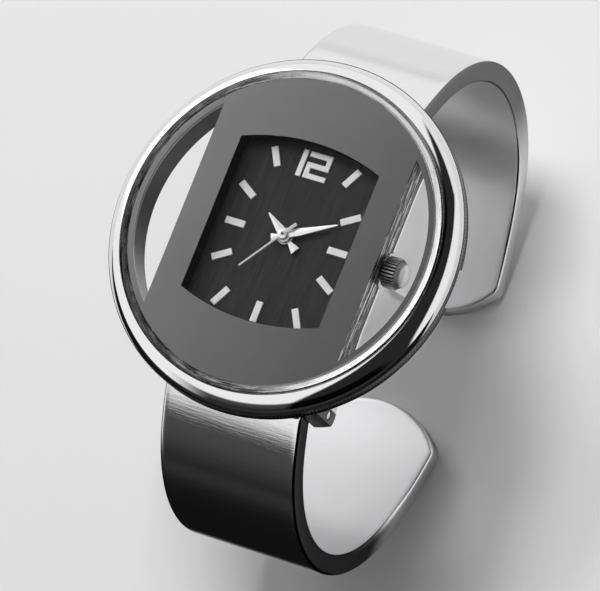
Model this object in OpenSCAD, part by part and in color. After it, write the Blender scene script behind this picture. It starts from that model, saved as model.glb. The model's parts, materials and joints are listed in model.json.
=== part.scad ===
// Cuff watch: an open ring with a bar-shaped centre case across it and two sprung cuff wings.
// Frame: the dial faces +Z, 12 o'clock is +Y, the crown is at +X.
// The watch stands on the ground flats of its two free wing ends, at Z = 0.

/* [Ring and bezel] */
// Outer diameter of the polished bezel
ring_d = 40.7; // [39.6:0.1:42]
// Height of the bezel
bezel_h = 3.05; // [2.4:0.05:3.4]
// Radius of the bezel's outer shoulder
bezel_round = 1.0; // [0.6:0.05:1.1]
// Radius of the bezel's inner lip and of its heel
bezel_lip = 0.45; // [0.3:0.05:0.5]
// Radial width of the bezel at its top
bezel_w = 1.95; // [1.7:0.05:2.1]
// How far the rear flange's rim steps in from the bezel
flange_step = 0.65; // [0.4:0.05:0.9]
// Height of the rear flange below the bezel
flange_h = 1.3; // [0.9:0.05:1.6]
// Radial width of the case ring, from its open bore to the rear flange's rim
case_ring_w = 2.75; // [2.4:0.05:2.9]
// Width of the notch in the rear flange beside the crown
notch_w = 4.5; // [3:0.1:6]
// Depth of that notch
notch_depth = 1.2; // [0.6:0.1:1.6]

/* [Crystal] */
// Thickness of the crystal
crystal_t = 1.0; // [0.8:0.05:1.4]
// Width of the bevel round the crystal
crystal_bevel_w = 0.8; // [0.4:0.05:1]
// Drop of that bevel
crystal_bevel_h = 0.45; // [0.2:0.05:0.6]
// How far the crystal stands above the bezel
crystal_proud = 0.8; // [0.5:0.05:1]
// Thickness of the gasket under the crystal
crystal_gasket_t = 0.28; // [0.2:0.02:0.4]
// Width of that gasket
crystal_gasket_w = 0.8; // [0.5:0.05:0.9]
// Thickness of the mirror print on the crystal's underside
print_t = 0.08; // [0.05:0.01:0.12]
// Width of the print's border outside the clear segments
print_border = 0.65; // [0.4:0.05:0.9]

/* [Window and dial] */
// Half width of the window in the mirror print
window_half_w = 8.49; // [8:0.01:8.8]
// Half height of the window along its middle
window_half_h = 10.46; // [10:0.01:10.8]
// Rise of the window's curved top and bottom
window_sag = 1.55; // [1:0.05:2]
// Depth from the mirror print's underside to the dial
dial_depth = 2.18; // [1.9:0.02:2.4]
// Thickness of the dial
dial_t = 0.4; // [0.3:0.02:0.5]
// How far the dial reaches past the window
dial_margin = 0.9; // [0.7:0.05:1]
// Length of an hour bar
marker_l = 2.5; // [1.8:0.05:2.6]
// Width of an hour bar
marker_w = 0.85; // [0.5:0.05:1]
// Height of an hour bar above the dial
marker_t = 0.2; // [0.1:0.02:0.3]
// Width of the strokes of the numeral
stroke_w = 0.62; // [0.4:0.02:0.7]
// Height of the numeral
numeral_h = 3.1; // [2.6:0.05:3.4]
// Width of the numeral's squared figure two
numeral_w = 2.75; // [2.2:0.05:3]
// Gap between the numeral's two figures
numeral_gap = 0.25; // [0.15:0.01:0.4]

/* [Hands] */
// Length of the hour hand
hour_l = 3.4; // [3:0.05:4]
// Length of the minute hand
minute_l = 6.1; // [5.4:0.05:6.5]
// Length of the second hand
second_l = 5.85; // [5.2:0.05:6.5]
// Thickness of the hands
hand_t = 0.12; // [0.08:0.01:0.15]
// Height from one hand's underside to the next one's
hand_pitch = 0.4; // [0.34:0.01:0.42]
// Clearance from the dial up to the hour hand
hour_lift = 0.46; // [0.4:0.01:0.55]
// Seconds past the hour of ten that the hands show
shown_s = 636; // [0:1:3599]

/* [Centre case] */
// Width of the bar across the ring
bar_w = 23.6; // [22.6:0.1:24.4]
// Chamfer along the bar's lower edges
bar_chamfer = 0.35; // [0.1:0.05:0.5]
// Wall between the case's cavity and the outside of its back tray
tray_wall = 0.95; // [0.9:0.05:1.2]
// Height of the back tray below the ring
tray_h = 1.9; // [1.85:0.05:2.3]
// Thickness of the pressed-on case back
back_t = 0.6; // [0.4:0.05:0.9]
// Height of the rim that holds the case back
rim_h = 0.4; // [0.2:0.05:0.5]
// Width of that rim
rim_w = 0.5; // [0.3:0.05:0.8]

/* [Crown] */
// Diameter of the crown's knurl
crown_d = 3.5; // [3:0.05:3.8]
// Length of the crown's knurl
knurl_l = 1.6; // [1.2:0.05:1.8]
// Height of the crown's domed end
dome_h = 1.0; // [0.5:0.05:1.2]
// Flutes round the knurl
flutes = 28; // [20:1:36]
// Depth of the flutes
flute_depth = 0.15; // [0.08:0.01:0.2]
// Depth of the recess round the crown in the bar's side
crown_recess = 0.6; // [0.3:0.05:0.8]
// Travel of the crown when it is pulled out
crown_pull = 0.7; // [0.4:0.05:0.8]
// Diameter of the crown tube
tube_d = 1.7; // [1.5:0.05:1.8]
// Diameter of the stem
stem_d = 0.8; // [0.7:0.02:0.9]

/* [Cuff wings] */
// Outer length of the cuff's oval, from 12 to 6 o'clock
cuff_l = 60.1; // [59:0.1:62]
// Radius of the oval's two outer arcs at 12 and 6 o'clock
cuff_side_r = 20.05; // [19.4:0.05:20.6]
// Height of the oval's top above the crystal's underside, if it ran on over the ring
cuff_top_rise = 0.24; // [0.1:0.02:0.3]
// How much higher the oval's top is than a circle of the side arcs' radius
cuff_top_stretch = 3.54; // [3.2:0.02:3.9]
// How much lower the oval's bottom is than that circle
cuff_low_stretch = 3.06; // [2.7:0.02:3.4]
// Width of the wings
wing_w = 16.7; // [15.5:0.1:16.8]
// Thickness of the wings
wing_t = 2.4; // [2:0.05:2.6]
// Radius of the wings' rounded edges
wing_edge = 0.35; // [0.15:0.05:0.6]
// Gap between the two free ends along the middle
end_gap = 11.6; // [9:0.1:14]
// Radius of the free ends, seen from below
end_r = 10.45; // [9.5:0.05:14]
// Depth ground off the free ends, so that the watch stands
foot_cut = 0.4; // [0.3:0.02:0.5]

/* [Hinges] */
// Height of the wings' inner faces above the hinge pins
pin_rise = 1.22; // [1.1:0.02:1.3]
// Depth of the hinge pins below the ring's back
pin_drop = 3.4; // [3.3:0.05:3.6]
// Diameter of the hinge pins
pin_d = 1.0; // [0.8:0.05:1.1]
// Thickness of the hinge ears
ear_t = 1.5; // [1.2:0.05:1.8]
// Radius of the hinge ears round the pin
ear_r = 1.75; // [1.5:0.05:1.8]
// Radius of the wings' hinge knuckles
knuckle_r = 1.4; // [1.3:0.05:1.5]
// Length of each hinge spring's coil
spring_l = 7; // [5:0.1:8]
// Thickness of the spring wire
spring_wire = 0.4; // [0.3:0.02:0.45]

/* [Movement] */
// Width of the movement
mov_w = 15.3; // [15.2:0.05:15.5]
// Length of the movement
mov_l = 17.8; // [17.7:0.05:18]
// Thickness of the main plate
plate_t = 2.34; // [2.3:0.02:2.4]
// Depth of the recess for the motion work in the main plate
motion_recess = 0.45; // [0.42:0.01:0.46]
// Thickness of the main plate's web under that recess
web_t = 0.34; // [0.3:0.01:0.34]
// Thickness of the train bridge
bridge_t = 0.3; // [0.24:0.02:0.3]
// Diameter of the battery
battery_d = 6.8; // [6:0.1:6.8]
// Height of the battery
battery_h = 2.6; // [2:0.05:2.6]
// Diameter of the coil
coil_d = 1.9; // [1.6:0.05:2]
// Length of the coil's winding
coil_l = 4.3; // [3.6:0.1:4.5]
// Height of the stem's axis above the train bridge
stem_rise = 1.15; // [1.05:0.05:1.2]

/* [Fits] */
// Radial clearance of turning fits
run_fit = 0.04; // [0.03:0.01:0.06]
// Radial clearance of pressed and seated parts
seat_fit = 0.02; // [0.01:0.01:0.04]
// Gap between parts that must not touch
air = 0.12; // [0.1:0.01:0.15]

/* [Hidden] */
$fn = 96;
cut = 1; // how far a cutting solid runs past the face that it opens

// Heights, measured from the crystal's underside
crystal_top = crystal_t;
bezel_top = crystal_top - crystal_proud;
bezel_bottom = bezel_top - bezel_h;
back_z = bezel_bottom - flange_h;
seat_z = -crystal_gasket_t;
print_z = -print_t;
dial_z = print_z - dial_depth;
plate_top = dial_z - dial_t;
web_top = plate_top - motion_recess;
web_bottom = web_top - web_t;
plate_bottom = plate_top - plate_t;
bridge_bottom = plate_bottom - bridge_t;
tray_bottom = back_z - tray_h;
stem_z = plate_bottom + stem_rise;
pin_z = back_z - pin_drop;

// Radii of the ring
ring_r = ring_d / 2;
bezel_in_r = ring_r - bezel_w;
crystal_r = bezel_in_r - air;
flange_r = ring_r - flange_step;
bore_r = flange_r - case_ring_w;
collar_r = bezel_in_r + 0.5;
print_r = bore_r + 0.45;
clear_r = bore_r - print_border + 0.45;

// Arcs of the cuff's oval, as [centre y, centre z, radius] of the outer surface
side_y = cuff_l / 2 - cuff_side_r;
top_h = cuff_side_r + cuff_top_stretch;
low_h = cuff_side_r + cuff_low_stretch;
side_z = cuff_top_rise - top_h;
function blend_r(h) = (side_y * side_y + h * h - cuff_side_r * cuff_side_r) / (2 * (h - cuff_side_r));
top_r = blend_r(top_h);
low_r = blend_r(low_h);
top_cz = cuff_top_rise - top_r;
low_cz = side_z - low_h + low_r;
top_join = atan2(side_z - top_cz, side_y);
low_join = atan2(side_z - low_cz, side_y);
end_y = end_gap / 2;
end_z = low_cz - sqrt(low_r * low_r - end_y * end_y);
foot_z = end_z + foot_cut;
lift = -foot_z;
pin_y = sqrt(pow(top_r - wing_t, 2) - pow(pin_z + pin_rise - top_cz, 2));
swing_r = pin_drop - air;
ear_x = wing_w / 2 + air;

// Window outline
arc_r = (window_half_w * window_half_w + window_sag * window_sag) / (2 * window_sag);
arc_y = arc_r - window_half_h;
cavity_grow = dial_margin + 0.1;

// Gear train: modules and teeth
m_third = 0.085;
m_second = 0.11;
m_rotor = 0.08;
m_motion = 0.08;
second_pinion_n = 8;
third_n = 60;
third_pinion_n = 8;
center_n = 64;
fifth_pinion_n = 6;
second_n = 30;
rotor_pinion_n = 6;
fifth_n = 36;
cannon_n = 12;
minute_n = 36;
minute_pinion_n = 10;
hour_n = 40;
third_dist = m_third * (second_pinion_n + third_n) / 2;
m_center = 2 * third_dist / (third_pinion_n + center_n);
fifth_dist = m_second * (fifth_pinion_n + second_n) / 2;
rotor_dist = m_rotor * (rotor_pinion_n + fifth_n) / 2;
minute_dist = m_motion * (cannon_n + minute_n) / 2;
m_hour = 2 * minute_dist / (minute_pinion_n + hour_n);
third_a = 135;
fifth_a = -60;
rotor_a = -45;
minute_a = 60;
function polar(r, a) = [r * cos(a), r * sin(a)];
third_at = polar(third_dist, third_a);
fifth_at = polar(fifth_dist, fifth_a);
rotor_at = fifth_at + polar(rotor_dist, rotor_a);
minute_at = polar(minute_dist, minute_a);
wheel_t = 0.12;
pinion_t = 0.2;
level = 0.3; // from one wheel of the train to the next
center_wheel_z = web_bottom - 0.06 - wheel_t;
third_wheel_z = center_wheel_z - level - 0.04;
second_wheel_z = third_wheel_z - level;
fifth_wheel_z = second_wheel_z - level;
hour_wheel_z = plate_top - 0.06 - wheel_t;
minute_wheel_z = hour_wheel_z - wheel_t - 0.06;

// Bores and arbors of the hands
second_arbor_r = 0.13;
cannon_bore_r = second_arbor_r + run_fit;
cannon_r = 0.42;
pipe_bore_r = cannon_r + run_fit;
pipe_r = 0.62;
arbor_r = 0.12;
hour_z = dial_z + hour_lift;
minute_z = hour_z + hand_pitch;
second_z = minute_z + hand_pitch;
hour_turn = -(300 + shown_s / 120);
minute_turn = -shown_s / 10;
second_turn = -(shown_s % 60) * 6;

// Places in the movement
battery_at = [-3.6, -5.2];
battery_top = plate_top - 0.36;
coil_at = [3.85, -7.3];
coil_z = plate_bottom + 0.55;
core_t = 0.4;
stator_z = coil_z + core_t / 2;
lever_x = 6.0;
lever_arm = 2.2;
lever_swing = 2 * asin(crown_pull / 2 / lever_arm);
finger_r = 0.17;
groove_r = 0.2;
groove_w = 0.6;
lever_at = [lever_x + crown_pull / 2, groove_r + air + finger_r + lever_arm];
screw_at = [[-5.4, -0.6], [2.1, 4.0], [4.7, -1.85]];
board_w = mov_w - 0.9;
board_l = 3.3;
board_t = 0.2;
chip_t = 0.35;
can_r = 0.6;
can_l = 5;
can_x = 1.4;
can_y = mov_l / 2 - 1.9;
crown_x = bar_w / 2 - 0.05;
square_side = 0.5;
square_x = [2.8, 4.9];
pinion_x = [3.1, 4.3];
setting_r = 0.75;

steel = [0.80, 0.81, 0.83];
brushed = [0.66, 0.67, 0.69];
brass_tone = [0.78, 0.66, 0.38];
dark = [0.13, 0.13, 0.14];
silver = [0.86, 0.86, 0.87];
rubber_tone = [0.08, 0.08, 0.08];

module place() {
    translate([0, 0, lift]) children();
}

// A slab of a flat outline, from height z0 up to z1
module slab(z0, z1) {
    translate([0, 0, z0]) linear_extrude(z1 - z0) children();
}

module rod(r, z0, z1) {
    translate([0, 0, z0]) cylinder(h = z1 - z0, r = r);
}

// A cylinder along X from x0 to x1, at the height z
module rod_x(r, x0, x1, z, y = 0) {
    translate([x0, y, z]) rotate([0, 90, 0]) cylinder(h = x1 - x0, r = r);
}

// The window's outline, grown outwards by g
module barrel(g) {
    intersection() {
        square([2 * (window_half_w + g), 2 * (window_half_h + g)], center = true);
        translate([0, -arc_y]) circle(arc_r + g);
        translate([0, arc_y]) circle(arc_r + g);
    }
}

// A gear outline with straight-flanked teeth, one tooth at the angle a, or a gap there
module teeth(n, m, a, gap = false) {
    r = n * m / 2;
    pitch = 360 / n;
    turn = a + (gap ? pitch / 2 : 0);
    polygon([
        for (i = [0 : n - 1], p = [[-0.30, -1.2], [-0.11, 0.9], [0.11, 0.9], [0.30, -1.2]])
            polar(r + p[1] * m, turn + (i + p[0]) * pitch)
    ]);
}

module case_section() {
    translate([bore_r, back_z]) square([case_ring_w, flange_h]);
    translate([bore_r, back_z]) square([collar_r - bore_r, seat_z - back_z]);
}

module ear() {
    intersection() {
        union() {
            rod_x(ear_r, ear_x, ear_x + ear_t, pin_z, pin_y);
            translate([ear_x, pin_y - ear_r, pin_z]) cube([ear_t, 2 * ear_r, back_z - pin_z + cut]);
        }
        rod(flange_r, pin_z - 2 * ear_r, back_z + cut / 2);
    }
}

module bar_solid() {
    half = bar_w / 2;
    intersection() {
        rod(bore_r + 0.3, back_z, seat_z);
        translate([0, ring_r, 0]) rotate([90, 0, 0]) linear_extrude(2 * ring_r) polygon([
            [-half, seat_z], [-half, back_z + bar_chamfer], [-half + bar_chamfer, back_z],
            [half - bar_chamfer, back_z], [half, back_z + bar_chamfer], [half, seat_z]
        ]);
    }
}

module case_body() {
    color(steel) place() difference() {
        union() {
            rotate_extrude() case_section();
            bar_solid();
            slab(tray_bottom, back_z + cut) barrel(cavity_grow + tray_wall);
            for (mx = [0, 1], my = [0, 1]) mirror([mx, 0, 0]) mirror([0, my, 0]) ear();
        }
        slab(tray_bottom - cut, seat_z + cut) barrel(cavity_grow);
        slab(tray_bottom - cut, tray_bottom + 0.25) difference() {
            barrel(cavity_grow + 0.65);
            barrel(cavity_grow + 0.3);
        }
        rod_x(crown_d / 2 + 0.35, bar_w / 2 - crown_recess, bar_w / 2 + cut, stem_z);
        rod_x(tube_d / 2 + seat_fit, window_half_w, bar_w / 2, stem_z);
        translate([flange_r - notch_depth, -notch_w / 2, back_z - cut])
            cube([notch_depth + cut, notch_w, flange_h / 2 + cut]);
        for (s = [-1, 1])
            rod_x(pin_d / 2 + seat_fit, -ring_r, ring_r, pin_z, s * pin_y);
    }
}

module bezel_section() {
    difference() {
        union() {
            translate([ring_r - bezel_round, bezel_top - bezel_round]) circle(bezel_round);
            translate([bezel_in_r + bezel_lip, bezel_top - bezel_lip]) circle(bezel_lip);
            translate([ring_r - bezel_lip, bezel_bottom + bezel_lip]) circle(bezel_lip);
            translate([bezel_in_r + bezel_lip, bezel_bottom])
                square([bezel_w - bezel_lip - bezel_round, bezel_h]);
            translate([bezel_in_r, bezel_bottom]) square([bezel_w - bezel_lip, bezel_h - bezel_round]);
            translate([bezel_in_r, bezel_bottom + bezel_lip])
                square([bezel_w, bezel_h - bezel_round - bezel_lip]);
            translate([bezel_in_r, bezel_bottom]) square([bezel_lip, bezel_h - bezel_lip]);
        }
        translate([0, bezel_bottom - cut])
            square([collar_r + seat_fit, seat_z + seat_fit - bezel_bottom + cut]);
    }
}

module bezel() {
    color(silver) place() rotate_extrude() bezel_section();
}

module crystal() {
    color([0.75, 0.82, 0.86, 0.35]) place() rotate_extrude() polygon([
        [0, 0], [crystal_r, 0], [crystal_r, crystal_top - crystal_bevel_h],
        [crystal_r - crystal_bevel_w, crystal_top], [0, crystal_top]
    ]);
}

module mirror_print() {
    color([0.40, 0.40, 0.41]) place() slab(print_z, 0) difference() {
        circle(print_r);
        barrel(0);
        difference() {
            circle(clear_r);
            square([bar_w + 0.06, 2 * clear_r], center = true);
        }
    }
}

module crystal_gasket() {
    color(rubber_tone) place() slab(seat_z, 0) difference() {
        circle(print_r + seat_fit + crystal_gasket_w);
        circle(print_r + seat_fit);
    }
}

module dial_frame() {
    color(dark) place() slab(dial_z, print_z - 0.04) difference() {
        barrel(dial_margin);
        barrel(0.12);
    }
}

module dial() {
    color([0.22, 0.22, 0.23]) place() {
        slab(plate_top, dial_z) difference() {
            barrel(dial_margin);
            circle(pipe_r + air);
        }
    }
}

// An hour bar whose middle is at [x, y], pointing at the middle of the dial
module hour_bar(x, y) {
    translate([x, y]) rotate(atan2(y, x)) square([marker_l, marker_w], center = true);
}

// The numeral 12 in straight strokes of one width
module numeral() {
    step = (numeral_h - stroke_w) / 2;
    total = stroke_w + numeral_gap + numeral_w;
    translate([-total / 2, -numeral_h / 2]) {
        square([stroke_w, numeral_h]);
        translate([stroke_w + numeral_gap, 0]) {
            for (row = [0 : 2]) translate([0, row * step]) square([numeral_w, stroke_w]);
            square([stroke_w, step + stroke_w]);
            translate([numeral_w - stroke_w, step]) square([stroke_w, step + stroke_w]);
        }
    }
}

module hour_markers() {
    near = window_half_w - 2.19;
    color(silver) place() slab(dial_z, dial_z + marker_t) {
        for (sx = [-1, 1]) {
            hour_bar(sx * near, 0);
            for (sy = [-1, 1]) {
                hour_bar(sx * (near + 0.06), sy * 3.84);
                hour_bar(sx * 4.68, sy * (window_half_h - 2.18));
            }
        }
        hour_bar(0, 1.66 - window_half_h);
        translate([0, window_half_h - 2.03]) numeral();
    }
}

// A tapered hand along +Y, widest near its hub, with a tail that widens backwards
module hand(length, width, tail, tail_w, hub_r) {
    polygon([
        [0.06, length], [-0.06, length], [-width / 2, 0.26 * length], [-0.12, 0],
        [-tail_w / 2, -tail], [tail_w / 2, -tail], [0.12, 0], [width / 2, 0.26 * length]
    ]);
    circle(hub_r);
}

module hour_hand() {
    color(silver) place() rotate(hour_turn) slab(hour_z, hour_z + hand_t) difference() {
        hand(hour_l, 0.95, 2.3, 0.9, 0.95);
        circle(pipe_r + seat_fit);
    }
}

module minute_hand() {
    color(silver) place() rotate(minute_turn) slab(minute_z, minute_z + hand_t) difference() {
        hand(minute_l, 0.85, 1.4, 0.7, 0.8);
        circle(cannon_r + seat_fit);
    }
}

module second_hand() {
    color(silver) place() rotate(second_turn) slab(second_z, second_z + hand_t) difference() {
        union() {
            translate([-0.09, 0]) square([0.18, second_l]);
            translate([-0.16, -1.85]) square([0.32, 1.85]);
            circle(0.55);
        }
        circle(second_arbor_r + seat_fit);
    }
}

module movement_outline(g) {
    square([mov_w + 2 * g, mov_l + 2 * g], center = true);
}

module movement_holder() {
    color([0.9, 0.9, 0.88]) place() difference() {
        slab(tray_bottom + rim_h + air, plate_top) difference() {
            barrel(dial_margin);
            movement_outline(seat_fit);
        }
        rod_x(tube_d / 2 + air, 0, bar_w, stem_z);
    }
}

module plate_pockets() {
    slab(plate_bottom - cut, web_bottom) {
        circle(m_center * center_n / 2 + 0.25);
        translate(third_at) circle(m_third * third_n / 2 + 0.25);
        translate(fifth_at) circle(m_rotor * fifth_n / 2 + 0.25);
        translate(rotor_at) circle(1.6);
        stator_outline(air);
        translate(coil_at) square([coil_l + 2.7, coil_d + 0.3], center = true);
    }
    translate(battery_at) rod(battery_d / 2 + air, plate_bottom - cut, battery_top + 0.04);
    slab(plate_bottom - cut, stem_z + setting_r + air)
        translate([pinion_x[0] - 0.5, -setting_r - air])
            square([lever_x + 1.7 - pinion_x[0], lever_at[1] + 1.6]);
    slab(plate_bottom - cut, plate_bottom + 2 * can_r + 0.1)
        translate([can_x - 0.6, can_y - can_r - 0.2]) square([can_l + 1.2, 2 * can_r + 0.4]);
}

module main_plate() {
    color(brass_tone) place() difference() {
        slab(plate_bottom, plate_top) movement_outline(0);
        slab(web_top, plate_top + cut) {
            circle(m_hour * hour_n / 2 + 0.3);
            translate(minute_at) circle(m_motion * minute_n / 2 + 0.25);
        }
        plate_pockets();
        rod(cannon_r + run_fit, web_bottom - cut, web_top + cut);
        translate(third_at) rod(arbor_r + run_fit, web_bottom - cut, web_bottom + 0.2);
        translate(rotor_at) rod(arbor_r + run_fit, web_bottom - cut, web_bottom + 0.2);
        rod_x(stem_d / 2 + run_fit, lever_x, mov_w, stem_z);
        for (p = screw_at) translate(p) rod(0.3, plate_bottom - cut, plate_bottom + 0.9);
    }
    color(brass_tone) place() translate(minute_at) rod(0.2, web_top, hour_wheel_z + wheel_t);
}

module bridge_outline() {
    difference() {
        union() {
            circle(3.1);
            polygon([[-3.2, -1.4], [-0.8, -3.0], [1.6, -4.2], [4.4, -3.6], [5.6, -1.2], [3.0, 3.2],
                     [2.4, 4.9], [-2.6, 5.0], [-5.2, 3.4], [-6.1, -1.3]]);
        }
        translate(battery_at) circle(battery_d / 2 + 2 * air);
        translate([3.2, -0.2]) square([6, 6]);
    }
}

module train_bridge() {
    color(brass_tone) place() {
        difference() {
            slab(bridge_bottom, plate_bottom) bridge_outline();
            rod(second_arbor_r + run_fit, bridge_bottom - cut, plate_bottom + cut);
            translate(third_at) rod(arbor_r + run_fit, bridge_bottom - cut, plate_bottom + cut);
            translate(rotor_at) rod(arbor_r + run_fit, bridge_bottom - cut, plate_bottom + cut);
            for (p = screw_at) translate(p) rod(0.34, bridge_bottom - cut, plate_bottom + cut);
        }
        translate(fifth_at) rod(arbor_r, plate_bottom, second_wheel_z + pinion_t + 0.1);
    }
}

module bridge_screws() {
    color(steel) place() for (p = screw_at) translate(p) difference() {
        union() {
            rod(0.3 - seat_fit, bridge_bottom, plate_bottom + 0.8);
            rod(0.6, bridge_bottom - 0.22, bridge_bottom);
        }
        translate([-1, -0.06, bridge_bottom - 0.4]) cube([2, 0.12, 0.28]);
    }
}

module center_wheel() {
    color(brass_tone) place() difference() {
        union() {
            slab(center_wheel_z, center_wheel_z + wheel_t) teeth(center_n, m_center, third_a);
            rod(cannon_r, center_wheel_z, minute_z + hand_t);
            slab(web_top + 0.03, hour_wheel_z - 0.03) teeth(cannon_n, m_motion, minute_a);
        }
        rod(cannon_bore_r, center_wheel_z - cut, minute_z + cut);
    }
}

module third_wheel() {
    color(brass_tone) place() translate(third_at) {
        slab(third_wheel_z, third_wheel_z + wheel_t) teeth(third_n, m_third, third_a + 180);
        slab(third_wheel_z, center_wheel_z + wheel_t + 0.04)
            teeth(third_pinion_n, m_center, third_a + 180, true);
        rod(arbor_r, bridge_bottom + 0.05, web_bottom + 0.15);
    }
}

module second_wheel() {
    color(brass_tone) place() {
        slab(second_wheel_z, second_wheel_z + wheel_t) teeth(second_n, m_second, fifth_a);
        slab(second_wheel_z, third_wheel_z + wheel_t + 0.04)
            teeth(second_pinion_n, m_third, third_a, true);
        rod(second_arbor_r, bridge_bottom + 0.05, second_z + hand_t);
    }
}

module fifth_wheel() {
    color([0.9, 0.9, 0.85]) place() translate(fifth_at) difference() {
        union() {
            slab(fifth_wheel_z, fifth_wheel_z + wheel_t) teeth(fifth_n, m_rotor, rotor_a);
            slab(fifth_wheel_z, second_wheel_z + wheel_t + 0.04)
                teeth(fifth_pinion_n, m_second, fifth_a + 180, true);
        }
        rod(arbor_r + run_fit, fifth_wheel_z - cut, second_wheel_z + cut);
    }
}

module rotor() {
    color([0.35, 0.36, 0.38]) place() translate(rotor_at) {
        slab(fifth_wheel_z - 0.04, stator_z) teeth(rotor_pinion_n, m_rotor, rotor_a + 180, true);
        rod(0.6, stator_z, stator_z + core_t + 0.1);
        rod(arbor_r, bridge_bottom + 0.05, web_bottom + 0.15);
    }
}

// The stator, seen flat, grown by g: a plate round the rotor with two legs to the coil's core
module stator_outline(g) {
    reach = coil_l / 2 + 1.0;
    translate(rotor_at) circle(1.15 + g);
    for (s = [-1, 1]) {
        foot = coil_at + [s * reach, 0];
        translate(foot) square([0.9 + 2 * g, 1.2 + 2 * g], center = true);
        leg = [
            rotor_at + [s * (1.1 + g), 0.2], rotor_at + [s * (0.5 - g), -0.9],
            foot + [-s * (0.4 + g), 0.5], foot + [s * (0.4 + g), 0.5]
        ];
        polygon(s > 0 ? leg : [for (i = [3 : -1 : 0]) leg[i]]);
    }
}

module stator() {
    color([0.55, 0.55, 0.57]) place() slab(stator_z, stator_z + core_t) difference() {
        stator_outline(0);
        translate(rotor_at) circle(0.6 + air);
    }
}

module coil_core() {
    reach = coil_l / 2 + 1.0;
    color([0.55, 0.55, 0.57]) place() slab(stator_z - core_t, stator_z) {
        translate(coil_at) square([2 * reach, 0.7], center = true);
        for (s = [-1, 1]) translate(coil_at + [s * reach, 0]) square([0.9, 1.2], center = true);
    }
}

module coil_winding() {
    color([0.72, 0.38, 0.20]) place() difference() {
        rod_x(coil_d / 2, coil_at[0] - coil_l / 2, coil_at[0] + coil_l / 2, coil_z, coil_at[1]);
        translate([coil_at[0], coil_at[1], coil_z])
            cube([2 * coil_l, 0.7 + 2 * seat_fit, core_t + 2 * seat_fit], center = true);
    }
}

module minute_wheel() {
    color(brass_tone) place() translate(minute_at) difference() {
        union() {
            slab(minute_wheel_z, minute_wheel_z + wheel_t)
                teeth(minute_n, m_motion, minute_a + 180, true);
            slab(minute_wheel_z, hour_wheel_z + wheel_t)
                teeth(minute_pinion_n, m_hour, minute_a + 180);
        }
        rod(0.2 + run_fit, minute_wheel_z - cut, plate_top + cut);
    }
}

module hour_wheel() {
    color(brass_tone) place() difference() {
        union() {
            slab(hour_wheel_z, hour_wheel_z + wheel_t) teeth(hour_n, m_hour, minute_a, true);
            rod(pipe_r, hour_wheel_z, hour_z + hand_t);
        }
        rod(pipe_bore_r, hour_wheel_z - cut, hour_z + cut);
    }
}

module circuit_board() {
    color([0.12, 0.35, 0.22]) place() {
        slab(plate_bottom - board_t, plate_bottom) translate([-board_w / 2, mov_l / 2 - 0.3 - board_l])
            square([board_w, board_l]);
        slab(plate_bottom - board_t - chip_t, plate_bottom - board_t)
            translate([-1.2, mov_l / 2 - 2.9]) square([2.4, 2]);
    }
}

module quartz_can() {
    color(silver) place() rod_x(can_r, can_x, can_x + can_l, plate_bottom + can_r + 0.02, can_y);
}

module battery() {
    color([0.75, 0.76, 0.78]) place() translate(battery_at) {
        rod(battery_d / 2, battery_top - battery_h, battery_top - 0.5);
        rod(battery_d / 2 - 0.6, battery_top - 0.5, battery_top);
    }
}

module battery_clamp() {
    low = battery_top - battery_h;
    color(steel) place() translate(battery_at) {
        slab(low - 0.14, low) square([battery_d + 1.3, 1.2], center = true);
        slab(low, plate_bottom) for (s = [-1, 1])
            translate([s * (battery_d / 2 + 0.45), 0]) square([0.4, 1.2], center = true);
    }
}

module stem() {
    color(steel) place() difference() {
        union() {
            rod_x(stem_d / 2, square_x[1], crown_x + knurl_l - 0.5, stem_z);
            translate([square_x[0], -square_side / 2, stem_z - square_side / 2])
                cube([square_x[1] - square_x[0] + 0.1, square_side, square_side]);
        }
        difference() {
            rod_x(stem_d, lever_x - groove_w / 2, lever_x + groove_w / 2, stem_z);
            rod_x(groove_r, 0, ring_r, stem_z);
        }
    }
}

module setting_pinion() {
    bore = square_side + 2 * run_fit;
    color(steel) place() difference() {
        translate([pinion_x[0], 0, stem_z]) rotate([90, 0, 90])
            linear_extrude(pinion_x[1] - pinion_x[0]) teeth(14, 2 * setting_r / 16, 0);
        translate([pinion_x[0] - cut, -bore / 2, stem_z - bore / 2])
            cube([pinion_x[1] - pinion_x[0] + 2 * cut, bore, bore]);
    }
}

module setting_lever() {
    low = stem_z - stem_d / 2 - 0.3;
    finger = [lever_x, lever_at[1] - lever_arm * cos(lever_swing / 2)];
    color(steel) place() {
        slab(low, low + 0.2) {
            translate(lever_at) circle(0.5);
            translate(finger) circle(0.32);
            translate(lever_at) rotate(-90 - lever_swing / 2) translate([0, -0.25])
                square([lever_arm, 0.5]);
        }
        translate(finger) rod(finger_r, low, stem_z + groove_r);
        translate(lever_at) rod(0.22, low, stem_z + setting_r);
    }
}

module crown() {
    r = crown_d / 2;
    dome_r = r - flute_depth - 0.12;
    ball_r = (dome_r * dome_r + dome_h * dome_h) / (2 * dome_h);
    end_x = crown_x + knurl_l;
    color(silver) place() difference() {
        union() {
            translate([crown_x, 0, stem_z]) rotate([90, 0, 90]) linear_extrude(knurl_l) polygon([
                for (i = [0 : flutes - 1], p = [[-0.28, 0], [0.28, 0], [0.42, flute_depth], [0.58, flute_depth]])
                    polar(r - p[1], (i + p[0]) * 360 / flutes)
            ]);
            translate([end_x, 0, stem_z]) rotate([0, 90, 0]) rotate_extrude() intersection() {
                translate([0, dome_h - ball_r]) circle(ball_r);
                square([dome_r, 2 * dome_h]);
            }
        }
        rod_x(tube_d / 2 + 0.3, crown_x - cut, crown_x + knurl_l - 0.5, stem_z);
        rod_x(stem_d / 2 + seat_fit, crown_x, crown_x + knurl_l - 0.5, stem_z);
    }
}

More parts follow.
